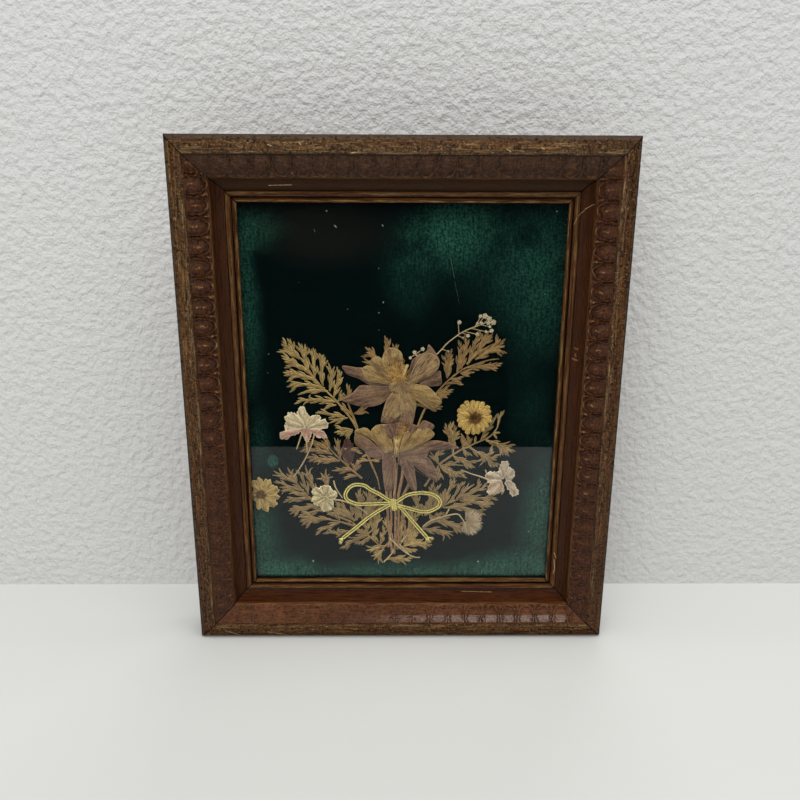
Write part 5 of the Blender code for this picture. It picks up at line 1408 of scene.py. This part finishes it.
# each petal: its outline, the root of its folds and its tone
columbines = {
    "columbine_upper": {"back": [
        ([(-36.5, 180.5), (-28, 179.5), (-16, 178), (-3, 168.5), (-14, 168), (-20.5, 168.5),
          (-26.5, 172), (-33, 174.5), (-35, 176.5)], (-2, 168), 0.35),
        ([(-37.5, 158.5), (-33.5, 161), (-30.5, 163.5), (-27.5, 166.5), (-24.5, 168),
          (-10, 167.5), (-3, 167), (-10.5, 158), (-15.5, 155), (-24, 154), (-32, 156)],
         (-2, 166), 0.5),
        ([(16, 194), (19, 191), (22.5, 185), (23, 182), (20.5, 176.5), (13.5, 171), (2.5, 168),
          (5, 180), (6.5, 184.5), (11.5, 188), (15, 190)], (1, 167), 0.65),
        ([(23, 177.5), (24, 174.5), (23.5, 168), (11, 168.5), (18, 174.5)], (8, 167), 0.75),
        ([(-3, 165), (-9, 160), (-13, 146), (-11, 143.5), (0, 143.5), (6, 141.5), (8.5, 152),
          (9, 157), (5, 164)], (-1, 166), 0.4)],
        "front": [
        ([(-12, 182), (-11, 189), (-9.5, 190.5), (-7.5, 192), (-4.5, 191.5), (-2, 190.5),
          (0, 188), (0.5, 182), (1, 176), (-1, 169), (-5, 171)], (-2, 168), 0.3),
        ([(-20, 182), (-19, 184.5), (-15.5, 186.5), (-13, 185.5), (-8, 178), (-3, 169.5),
          (-14, 175)], (-2, 169), 0.45),
        ([(-24.5, 179), (-21, 180.5), (-14, 178), (-3, 169), (-16, 170), (-21, 171),
          (-24, 176)], (-2, 168), 0.55),
        ([(-3, 166), (-8.5, 160), (-12, 150), (-11.5, 148), (-9, 147), (-6.5, 147.4),
          (-4.5, 146.4), (-2, 147.8), (1, 149), (4, 148.4), (7, 149.8), (8.4, 153), (8.4, 157.5),
          (4.5, 164)], (-1, 168), 0.35),
        ([(2, 166.5), (6, 169), (12, 168.5), (16, 167.5), (19.5, 164.5), (24.5, 158.5),
          (24, 156), (19.5, 153), (16.5, 153.5), (8, 159), (4, 163.5)], (-1, 167), 0.5),
        ([(4.5, 169.5), (6.5, 178), (10, 184.5), (15.5, 188.6), (19.5, 187.6), (22.3, 184.5),
          (22.6, 180.5), (20.2, 176.6), (13.5, 171.4)], (1, 167), 0.9),
        ([(-7, 169.5), (-2, 171), (4.5, 170), (6, 166), (2, 162.5), (-5, 163), (-8, 166)],
         (-1, 172), 0.7)],
        "specks": [((20.4, 179), 0.7, 3), ((-22, 166), 0.4, 3), ((9, 176), 0.3, 3)],
        "veins": [[(-0.5, 165), (-2, 158), (-4, 150), (-4.5, 146)],
                  [(-3, 163), (-7, 156), (-9, 150)], [(2, 163), (4, 156), (5.5, 151)],
                  [(-6, 164), (-16, 162), (-28, 159)], [(5, 166), (13, 162), (20, 157)]],
        "tassel": [(0.5, 171), (1.2, 176), (2.4, 181)],
        "eye": (-3.2, 176.8), "eyeReach": 9.4, "eyeCount": 230, "root": (-0.5, 168.5),
        "dull": (3, 5, 6)},
    "columbine_lower": {"back": [
        ([(-29.5, 136), (-26, 135.5), (-21, 133), (-15, 127.5), (-5, 122.5), (-12, 119.5),
          (-20.5, 121), (-24, 125), (-29.5, 129.5)], (-4, 121), 0.4),
        ([(36, 127), (29, 130.5), (20, 132), (12, 129.5), (1, 124), (-3, 121.5), (1, 118),
          (15, 120.5), (18, 125), (27, 125.5)], (-2, 121), 0.55),
        ([(22.5, 103.5), (23, 107.5), (20.5, 115), (15, 121), (-1, 121), (-1, 115),
          (6.5, 115), (13.5, 110), (20, 105)], (-1, 119), 0.7),
        ([(10, 138.5), (13, 145), (16.5, 144.5), (20.5, 141.5), (18, 138), (12, 133)],
         (4, 126), 0.3),
        ([(-14, 139), (-9, 143), (-1, 144), (7, 143), (11.5, 139.5), (5, 133), (-7, 133)],
         (-2, 126), 0.9),
        ([(-12, 122), (-11, 100), (-8, 97), (-5.5, 100), (-4, 122)], (-6, 124), 0.5),
        ([(-1, 118), (5, 101), (8, 98), (9.8, 100), (6.5, 118)], (1, 122), 0.6)],
        "front": [
        ([(-29.5, 138.5), (-25.5, 140), (-23.5, 140.5), (-20, 138.5), (-10, 125), (-22, 134.5),
          (-28.5, 135.5)], (-6, 123), 0.3),
        ([(-19.5, 138), (-17, 141.5), (-14.5, 142.5), (-9, 142.5), (-7.5, 138.5), (-5.5, 127),
          (-6.5, 124), (-10.5, 124), (-16, 129), (-18.5, 132.5)], (-5, 122), 0.35),
        ([(-5.5, 133), (-4.5, 136), (-2.5, 137.5), (0, 136), (-1.5, 127.5), (-2, 122),
          (-4.5, 122)], (-3.5, 119), 0.5),
        ([(1.5, 136.5), (7, 139), (13.5, 140), (17, 140), (20.5, 137), (19.5, 134.5),
          (14.5, 130.5), (7.5, 127), (1.5, 124.5), (-1.5, 124.5)], (-3, 121), 0.4)],
        "specks": [((-5.6, 121.4), 0.75, 4), ((-22, 138.4), 0.7, 4), ((35.4, 127.2), 0.5, 4)],
        "veins": [[(-8, 121), (-8.3, 110), (-8.2, 100)], [(-6, 121), (-6.6, 108)],
                  [(1.5, 117), (5, 107), (7.6, 100)], [(4, 117), (11, 111), (19, 106)],
                  [(2, 122), (14, 124), (30, 127)]],
        "tassel": [(-3.4, 122.5), (-3.2, 128), (-3.0, 133)],
        "eye": (1.0, 140.0), "eyeReach": 5.6, "eyeCount": 46, "root": (-2.5, 133),
        "dull": ()}}
columbineParts = {  # petals by depth, dome and folds; then threads, their heads and veins
    "back": (3.75, 0.4, 11), "front": (3.2, 0.5, 8), "pitch": 0.12, "ruffle": 0.3,
    "threadDepth": 2.7, "thread": (0.12, 0.09), "head": (0.24, 0.48), "veinDepth": 2.45,
    "vein": (0.16, 0.08), "tassels": 16, "tassel": (0.16, 0.26)}


def makeColumbine(name):
    # finishes in turn: mauve, tan, amber, brown, straw and moss
    shape, parts = columbines[name], columbineParts
    bm = bmesh.new()
    for side in ("back", "front"):
        depth, dome, folds = parts[side]
        for number, (outline, root, tone) in enumerate(shape[side]):
            begin = len(bm.faces)
            petal(bm, outline, root, depth - parts["pitch"] * number, dome=dome, tone=tone,
                  folds=folds, ruffle=parts["ruffle"])
            if side == "front":
                paintFrom(bm, begin, 5 if number in shape["dull"] else 1)
    drawn = random.Random(4 + len(name))
    rootX, rootZ = shape["root"]
    for number in range(shape["eyeCount"]):
        angle = drawn.uniform(0, math.tau)
        reach = shape["eyeReach"] * math.sqrt(drawn.uniform(0.02, 1))
        x = shape["eye"][0] + reach * math.cos(angle) * 0.85
        z = shape["eye"][1] + reach * math.sin(angle)
        bend = (rootX + (x - rootX) * 0.5 + drawn.uniform(-0.7, 0.7), (rootZ + z) / 2)
        depth = parts["threadDepth"] + drawn.uniform(-0.35, 0.35)
        begin = len(bm.faces)
        if abs(z - rootZ) + abs(x - rootX) > 1.5:
            tube(bm, [(rootX, rootZ), bend, (x, z)], parts["thread"], depth, sides=3,
                 spacing=1.6, tone=drawn.uniform(0, 0.5))
        paintFrom(bm, begin, 2)
        begin = len(bm.faces)
        bead(bm, (x, z), drawn.uniform(*parts["head"]), depth - 0.05, sides=5, rows=1, tone=0.2)
        paintFrom(bm, begin, 3 if number % 2 else 2)
    begin = len(bm.faces)
    for route in shape["veins"]:
        tube(bm, route, parts["vein"], parts["veinDepth"], sides=5, tone=0.9)
    paintFrom(bm, begin, 3)
    begin = len(bm.faces)
    for number in range(parts["tassels"]):
        lean = drawn.uniform(-1.7, 1.7)
        points = [(x + lean * k * 0.5, z + drawn.uniform(-0.9, 0.9) * k * 0.5)
                  for k, (x, z) in enumerate(shape["tassel"])]
        tube(bm, points, parts["tassel"], parts["threadDepth"] - 0.2, sides=4,
             tone=abs(lean) * 0.5)
    paintFrom(bm, begin, 4)
    for spot, radius, finish in shape["specks"]:
        begin = len(bm.faces)
        bead(bm, spot, radius, parts["threadDepth"] - 0.1, sides=8, tone=-0.2)
        paintFrom(bm, begin, finish)
    piece = meshPiece(name + "_folded", bm,
                      *skins("mauve", "tan", "amber", "brown", "straw", "moss"))
    settle(piece, name)


for columbine in columbines:
    makeColumbine(columbine)

daisyShape = {  # each layer of petals: reach, count and width
    "centre": (45.3, 147.3), "layers": ((11.7, 19, 3.2), (9.7, 17, 2.7), (7.6, 14, 2.3)),
    "depth": 3.7, "pitch": 0.28, "eye": ((45.8, 147.0), 3.9, 130, 2.95, 0.36, 5),
    "threads": 60, "thread": (0.2, 0.12), "threadDepth": 2.85}


goldenAngle = 2.39996


def eyeOf(bm, centre, reach, count, depth, size, seed):
    # florets set in a spiral over a low dome
    drawn = random.Random(seed)
    for number in range(count):
        share = math.sqrt((number + 0.5) / count)
        angle = number * goldenAngle
        x = centre[0] + reach * share * math.cos(angle) + drawn.uniform(-0.15, 0.15)
        z = centre[1] + reach * share * math.sin(angle) + drawn.uniform(-0.15, 0.15)
        rise = 0.35 * (1 - share * share) + drawn.uniform(0, 0.15)
        bead(bm, (x, z), size * drawn.uniform(0.75, 1.25), depth - rise, sides=6, rows=2,
             tone=drawn.uniform(0.1, 0.9))


def makeDaisy():
    shape = daisyShape
    bm = bmesh.new()
    cx, cz = shape["centre"]
    for layer, (reach, petals, width) in enumerate(shape["layers"]):
        for number in range(petals):
            angle = math.tau * (number + 0.3 * hashOf(number, 1.0, 1.0) + 0.5 * layer) / petals
            far = reach * (0.9 + 0.16 * hashOf(number, 2.0, 5.0 + layer))
            bend = angle + 0.16 * (hashOf(number, 3.0, 2.0) - 0.5)
            points = [(cx + r * math.cos(a), cz + r * math.sin(a)) for r, a in
                      ((2.0, angle), (far * 0.6, (angle + bend) / 2), (far, bend))]
            blade(bm, points, width * (0.85 + 0.3 * hashOf(number, 6.0, layer)),
                  shape["depth"] - 0.2 * (number % 2) - shape["pitch"] * layer, thick=0.2,
                  root=0.4, blunt=0.85, fullAt=0.78, dome=0.8, spacing=0.75,
                  tone=0.7 * hashOf(number, 8.0, 2.0 + layer))
    begin = len(bm.faces)
    eyeOf(bm, *shape["eye"])
    paintFrom(bm, begin, 1)
    begin = len(bm.faces)
    drawn = random.Random(15)
    for number in range(shape["threads"]):
        angle = drawn.uniform(0, math.tau)
        near, far = drawn.uniform(2.4, 3.6), drawn.uniform(4.2, 5.8)
        tube(bm, [(cx + r * math.cos(angle), cz + r * math.sin(angle)) for r in
                  (near, (near + far) / 2, far)], shape["thread"], shape["threadDepth"],
             sides=4, tone=0.3)
    paintFrom(bm, begin, 2)
    piece = meshPiece("daisy_petalled", bm, *skins("yellow", "brown", "dusk"))
    settle(piece, "daisy")


makeDaisy()

smallFlowers = {
    "flower_yellow": {"slot": "petal_yellow", "skins": ("dusk", "brown"), "petals": [
        [(-94, 97), (-96, 101), (-95.5, 104.5), (-93, 104.5), (-91, 101), (-90, 97)],
        [(-92, 98), (-92.5, 104), (-91.5, 107.3), (-89.5, 106), (-88.5, 100), (-89.5, 96)],
        [(-89.5, 98), (-88.8, 103.5), (-86.5, 105.8), (-83.5, 104.8), (-84, 100), (-87, 96)],
        [(-88, 97), (-84, 101), (-80.5, 101), (-78.5, 98.5), (-80, 95.5), (-86, 94.5)],
        [(-87.5, 96), (-81, 96.5), (-78.6, 94), (-80, 91.5), (-84, 92), (-88, 94)],
        [(-87, 94), (-82.5, 92.5), (-80.5, 89), (-82.5, 85.8), (-86, 87.5), (-88.5, 92)],
        [(-88, 93.5), (-85.5, 88), (-86, 84), (-88.5, 83.3), (-90.5, 86), (-90, 92)],
        [(-89.5, 93), (-89.8, 87), (-92, 84.5), (-94, 87.2), (-93.4, 91), (-91, 94)],
        [(-90, 96), (-93, 91.5), (-96, 91.8), (-97, 94.5), (-95.8, 97.5), (-92, 98)]],
        "root": (-90, 95), "eye": ((-90, 95), 3.6, 90, 0.42)},
    "flower_white": {"slot": "petal_cream", "skins": ("ivory", "dusk"), "petals": [
        [(-50.5, 93.5), (-55, 93), (-57.8, 96.5), (-56, 99.8), (-52.5, 99.4), (-50, 96.5)],
        [(-51, 93), (-53.5, 98), (-51, 101.2), (-46.5, 101), (-44.6, 98), (-46.5, 93.5)],
        [(-49, 93.5), (-46, 97.6), (-42.6, 97.4), (-41.6, 94.5), (-43.8, 91.6), (-48, 91.4)],
        [(-49.5, 93.5), (-44.8, 91), (-43.8, 87), (-46.5, 83.8), (-50.5, 84), (-52.4, 87.5)],
        [(-49.5, 93.5), (-51, 88), (-54, 86.8), (-57.4, 89.5), (-57.2, 93), (-53, 95)]],
        "root": (-49, 92.5), "eye": ((-49.2, 93), 0.8, 7, 0.28)},
    "flower_pink": {"slot": "petal_cream", "skins": ("cream", "pink"), "petals": [
        [(-58, 141), (-53, 144.5), (-48.5, 146), (-45.5, 143), (-48, 140), (-54, 138.8)],
        [(-66, 146), (-65.5, 151), (-62, 154.5), (-59.5, 151.5), (-58, 146), (-60, 140.5),
         (-63, 140.5)],
        [(-60, 142), (-58, 147.5), (-53, 149), (-50.5, 146.5), (-53, 143), (-57.5, 140)],
        [(-71, 140.5), (-73, 145.5), (-71.5, 149.5), (-67, 150.5), (-64, 147), (-61, 141),
         (-65, 139.5)],
        [(-61, 140.5), (-65, 144), (-71, 143.5), (-74, 140.5), (-70, 138.6), (-64, 138.6)]],
        "second": [
        [(-77, 135), (-76, 137.5), (-72, 139.3), (-66, 139.6), (-62.5, 139), (-66, 136),
         (-70, 134.5), (-72, 133), (-76, 132.7)],
        [(-63.5, 140.3), (-57, 140), (-56.8, 136), (-59.5, 130.5), (-62.3, 135)],
        [(-57.5, 140), (-50, 139), (-48, 137), (-47, 133.5), (-52, 134), (-55.5, 136)]],
        "root": (-60, 140), "stalks": [
        [(-62.8, 136.5), (-66.5, 126)], [(-60, 131), (-60, 124)],
        [(-55, 136), (-57, 129), (-61, 120), (-65, 113), (-69, 107)]]},
    "flower_pale": {"slot": "petal_cream", "skins": ("ash", "beige"), "petals": [
        [(53.5, 106), (54.5, 110), (59, 111), (64.5, 110.5), (66.5, 107.5), (64, 105),
         (60, 103.5), (56, 103.5)],
        [(62, 109), (63, 115), (64.5, 118), (66.8, 118.2), (68.5, 115), (68, 110), (65, 107)],
        [(66, 108), (68.5, 113.5), (71.5, 112.2), (72.5, 109), (70.5, 105), (67.5, 104.5)],
        [(67, 105), (70.5, 104.5), (73.5, 100.5), (75.5, 97.5), (74, 94.5), (71.5, 93.5),
         (69, 98), (66.5, 102)]], "second": [
        [(58, 105), (64, 104.5), (65.5, 101), (64, 96.5), (58, 95), (55, 96.5), (56, 101.5)]],
        "root": (66, 105), "stalks": [
        [(53.5, 112), (54.5, 109.5)], [(64.5, 99.5), (66, 98.5), (65.5, 96.5), (64.5, 95)],
        [(56, 105), (50, 107.5), (44, 109.5), (38, 112)]]},
    "petal_dark": {"slot": "petal_mauve", "skins": ("dark",), "y": 4.7, "petals": [
        [(-33, 116), (-30.5, 120), (-30, 126), (-32, 131), (-34.5, 133.5), (-37, 130),
         (-37.8, 124), (-36, 119)]], "root": (-33, 115)}}
smallShape = {"depth": 3.5, "stalk": (0.5, 0.35)}
petalKinds = {  # the broad petals and the small ones laid over them
    "petals": {"dome": 0.5, "ruffle": 0.45, "folds": 11, "curl": 0.2, "fray": 1.3,
               "spacing": 0.65, "shade": 0.5},
    "second": {"dome": 0.4, "ruffle": 0.4, "folds": 9, "curl": 0.15, "fray": 1.0,
               "spacing": 0.65, "shade": 0.5}}


def makeSmallFlower(name):
    shape = smallFlowers[name]
    y = shape.get("y", smallShape["depth"])
    bm = bmesh.new()
    for number, outline in enumerate(shape["petals"]):
        petal(bm, outline, shape["root"], y - 0.16 * (number % 4),
              tone=0.6 * hashOf(number, 3.0, len(name)), **petalKinds["petals"])
    begin = len(bm.faces)
    for number, outline in enumerate(shape.get("second", [])):
        petal(bm, outline, shape["root"], y - 0.35 - 0.1 * number,
              tone=0.6 * hashOf(number, 5.0, len(name)), **petalKinds["second"])
    if "eye" in shape:
        centre, reach, count, size = shape["eye"]
        eyeOf(bm, centre, reach, count, y - 0.35, size, 7)
    paintFrom(bm, begin, 1)
    begin = len(bm.faces)
    for route in shape.get("stalks", []):
        tube(bm, route, smallShape["stalk"], y, sides=7, tone=0.1)
    paintFrom(bm, begin, len(shape["skins"]))
    settle(meshPiece(name + "_petals", bm, *skins(*shape["skins"]), stalk), name)


for flower in smallFlowers:
    makeSmallFlower(flower)

tuft = {"centre": (45.4, 74.8), "reach": (6.8, 8.0), "threads": 470, "depth": 3.5,
        "root": (41.5, 76.5), "spread": (-150, 120), "thread": (0.3, 0.1),
        "stalk": (0.5, 0.4), "stalkDepth": 3.7,
        "stalks": [[(14, 72), (18, 75.5), (23, 77.8), (29, 79.7), (36.2, 81), (39, 78.5),
                    (41, 75.5)], [(29, 81), (31, 84.5)]]}


def makeTuft():
    bm = bmesh.new()
    drawn = random.Random(11)
    cx, cz = tuft["centre"]
    rootX, rootZ = tuft["root"]
    for number in range(tuft["threads"]):
        angle = math.radians(drawn.uniform(*tuft["spread"]))
        share = drawn.uniform(0.58, 0.92) if number % 3 else drawn.uniform(0.9, 1.2)
        ex = cx + tuft["reach"][0] * share * math.cos(angle)
        ez = cz + tuft["reach"][1] * share * math.sin(angle)
        inner = drawn.uniform(0.1, 0.7)
        sx, sz = rootX + (ex - rootX) * inner, rootZ + (ez - rootZ) * inner
        mx = (sx + ex) / 2 + drawn.uniform(-0.5, 0.5)
        mz = (sz + ez) / 2 + drawn.uniform(-0.5, 0.5)
        depth = tuft["depth"] - drawn.uniform(0, 0.8)
        tube(bm, [(sx, sz), (mx, mz), (ex, ez)], tuft["thread"], depth, sides=4, spacing=1.2,
             tone=drawn.uniform(-0.5, 0.9) - (0.4 if share > 0.9 else 0.0))
    begin = len(bm.faces)
    for route in tuft["stalks"]:
        tube(bm, route, tuft["stalk"], tuft["stalkDepth"], sides=7, tone=0.1)
    paintFrom(bm, begin, 1)
    piece = meshPiece("flower_tuft_threads", bm, petalSkins["fluff"], stalk)
    settle(piece, "flower_tuft")


makeTuft()

sprig = {"depth": 4.0, "stemRadii": (0.42, 0.28), "twigRadii": (0.25, 0.18), "leaves": 5,
         "size": 0.86, "stem": [
         (8, 187.5), (13.5, 185), (19, 187), (21.4, 188), (24.3, 191),
         (27.6, 194.8), (32.2, 198.5), (34.7, 200.4), (38.8, 202.7), (43.8, 204.8), (50, 207)],
         "twigs": [[(34.5, 200.5), (34, 206), (34.5, 207.7)], [(24.3, 191), (28, 189.5)],
                   [(33.5, 199.5), (36.8, 198)], [(36, 201.5), (39.9, 199.4)],
                   [(37.5, 202), (45.5, 200.2)], [(41.5, 204), (50.8, 201.9), (54.2, 202.5)],
                   [(43.8, 204.8), (45.3, 207), (47.2, 211.4)], [(46, 206.5), (49.9, 211.5)],
                   [(49.5, 207.3), (55.1, 207.7)], [(49, 207), (52.6, 209.8)],
                   [(8, 187.5), (12.5, 191)], [(8, 187.5), (5, 185.5)],
                   [(48, 206), (53, 205)]],
         "florets": [((34.5, 207.7), 1.7), ((39.9, 199.4), 1.5), ((45.5, 200.2), 1.6),
                     ((50.8, 201.9), 1.2), ((54.2, 202.5), 1.7), ((49.9, 211.5), 2.2),
                     ((47.2, 211.4), 1.5), ((52.6, 209.8), 2.0), ((55.1, 207.7), 2.2),
                     ((52.2, 207.3), 1.8), ((45.3, 207), 1.0), ((47.8, 207.3), 1.2),
                     ((53, 205), 1.2), ((7.5, 189), 1.6), ((12.5, 191), 1.7), ((5, 185.5), 1.3)],
         "buds": [((36.8, 198), 0.8), ((28, 189.5), 0.9), ((10.5, 187.5), 0.7)]}


def makeSprig():
    bm = bmesh.new()
    depth = sprig["depth"]
    tube(bm, sprig["stem"], sprig["stemRadii"], depth, sides=7, tone=0.2)
    for route in sprig["twigs"]:
        tube(bm, route, sprig["twigRadii"], depth, sides=6, spacing=1.2, tone=0.2)
    begin = len(bm.faces)
    for number, (centre, radius) in enumerate(sprig["florets"]):
        radius *= sprig["size"]
        for leafNumber in range(sprig["leaves"]):
            angle = math.tau * leafNumber / sprig["leaves"] + number
            reach = radius * (0.85 + 0.25 * hashOf(number, leafNumber, 1.0))
            far = (centre[0] + reach * math.cos(angle), centre[1] + reach * math.sin(angle))
            blade(bm, [centre, ((centre[0] + far[0]) / 2, (centre[1] + far[1]) / 2), far],
                  radius * 0.7, depth - 0.35 - 0.15 * (leafNumber % 2), thick=0.14, root=0.4,
                  blunt=0.3, fullAt=0.65, spacing=0.45,
                  tone=hashOf(number, leafNumber, 9.0) - 0.4)
        bead(bm, centre, radius * 0.28, depth - 0.5, sides=5, rows=1, tone=0.9)
    for centre, radius in sprig["buds"]:
        bead(bm, centre, radius, depth - 0.2, sides=7, rows=3, tone=0.2)
    paintFrom(bm, begin, 1)
    piece = meshPiece("sprig_white_florets", bm, stalk, petalSkins["cream"])
    settle(piece, "sprig_white")


makeSprig()
print("flowers laid")


# two round strands of the bow lie side by side along each loop and tail
bow = {"depth": 2.75, "radius": 0.6, "apart": 0.74, "pitch": 3.0, "step": 0.34, "sides": 12,
       "layer": 0.12, "lobes": 3, "lobe": 0.07, "frayThreads": 7, "frayRadii": (0.2, 0.12),
       "knotRise": 0.6, "knotLayer": 0.25, "knotThick": 1.3,
       "loops": {
           "right": [(-4, 89.8), (-1, 91.8), (4, 95), (10, 96.3), (15, 96.3), (20, 95.3),
                     (23.5, 93), (25, 90), (24, 87), (21, 84.8), (17, 83.3), (12, 83.5),
                     (6, 85.3), (0, 87), (-4, 88.6)],
           "left": [(-4.5, 90), (-8, 91.3), (-15, 96), (-20, 98.7), (-24, 101.5), (-30, 102),
                    (-34, 99.5), (-36, 95.5), (-35.5, 92.5), (-33, 90.3), (-28, 88.6),
                    (-20, 88.6), (-10, 89), (-4.5, 88.6)],
           "rightTail": [(-4.5, 89), (0, 85.5), (8, 75.5), (16.8, 64.6)],
           "leftTail": [(-4.5, 89), (-8.5, 87.4), (-20, 80), (-30, 71.3), (-38.2, 64.3)]},
       "fray": {"rightTail": [(16.5, 61), (18.5, 61.5), (20.5, 64)],
                "leftTail": [(-41, 63.3), (-40.5, 61), (-39.5, 60)]},
       "knot": [[(-6.4, 92.6), (-6.1, 88.6), (-5.6, 84.6)],
                [(-5.3, 92.9), (-5.0, 88.6), (-4.4, 84.3)],
                [(-4.2, 92.3), (-3.9, 88.6), (-3.3, 84.7)]]}
goldLook = tints({"thread": (180, 150, 40), "bright": (224, 202, 82), "shade": (58, 44, 10),
                  "glint": (255, 246, 160)})


def buildGold():
    # lay holds the turn round the strand, the way along it and how far it faces the glass
    material, shader = newMaterial("goldThread")
    lay = attribute("lay")
    wound, _, facing = splitVector(lay)
    threads = mathNode("SINE", times(wound, 5.0))
    glint, _ = mottled(lay, 0.9, 0.45, 0.6)
    colour = mixColour(rangeNode(threads, -0.8, 0.8), goldLook["thread"], goldLook["bright"])
    # painted shade on the strands' sides and a painted highlight along their crowns, by how far
    # each part faces the glass
    colour = mixColour(rangeNode(facing, 0.1, 0.8, 0.97, 0.0), colour, goldLook["shade"])
    paintedGlint = times(rangeNode(facing, 0.62, 0.9), scaled(glint, 0.4, 0.55))
    colour = mixColour(paintedGlint, colour, goldLook["glint"])
    plugAll(shader, {"Base Color": colour, "Metallic": 0.2,
                     "Roughness": scaled(glint, 0.15, 0.22)})
    addBumps(shader, (threads, 0.8, 0.0002))
    return material


def strand(bm, route, offset, y, phase, thick=1.0):
    # a twisted cord: its section is lobed, and the lobes wind along it
    layers = plantLayers(bm)
    rings = []
    for index, spot in enumerate(route):
        side = waysAt(route, index)[1]
        centre = spot + side * offset
        walked = index * bow["step"]
        ring = []
        for k in range(bow["sides"]):
            angle = math.tau * k / bow["sides"]
            wound = angle - walked / bow["pitch"] * math.tau + phase
            lobe = bow["lobe"] * (math.cos(bow["lobes"] * wound) - 1)
            radius = bow["radius"] * thick * (1 + lobe)
            place = centre + side * radius * math.cos(angle)
            ring.append(addVert(bm, layers, (place.x, y - radius * math.sin(angle), place.y),
                                (wound, walked, math.sin(angle)), 0.0))
        rings.append(ring)
    joinRings(bm, rings)


def makeBow():
    bm = bmesh.new()
    drawn = random.Random(21)
    for number, (name, points) in enumerate(bow["loops"].items()):
        route = smoothRoute(points, bow["step"])
        for side in (-1, 1):
            strand(bm, route, side * bow["apart"], bow["depth"] + bow["layer"] * number,
                   side * 1.3)
        startX, startZ = points[-1]
        for x, z in bow["fray"].get(name, []):
            for thread in range(bow["frayThreads"]):
                endX, endZ = x + drawn.uniform(-0.8, 0.8), z + drawn.uniform(-0.8, 0.8)
                bend = ((startX + endX) / 2 + drawn.uniform(-0.4, 0.4),
                        (startZ + endZ) / 2 + drawn.uniform(-0.4, 0.4))
                tube(bm, [(startX, startZ), bend, (endX, endZ)], bow["frayRadii"],
                     bow["depth"] + drawn.uniform(0, 0.6), sides=4)
    for number, points in enumerate(bow["knot"]):
        route = smoothRoute(points, bow["step"])
        depth = bow["depth"] - bow["knotRise"] - bow["knotLayer"] * (number % 2)
        strand(bm, route, 0.0, depth, number * 1.3, bow["knotThick"])
    settle(meshPiece("gold_bow_twisted", bm, buildGold()), "gold_bow")


makeBow()
print("bow tied")
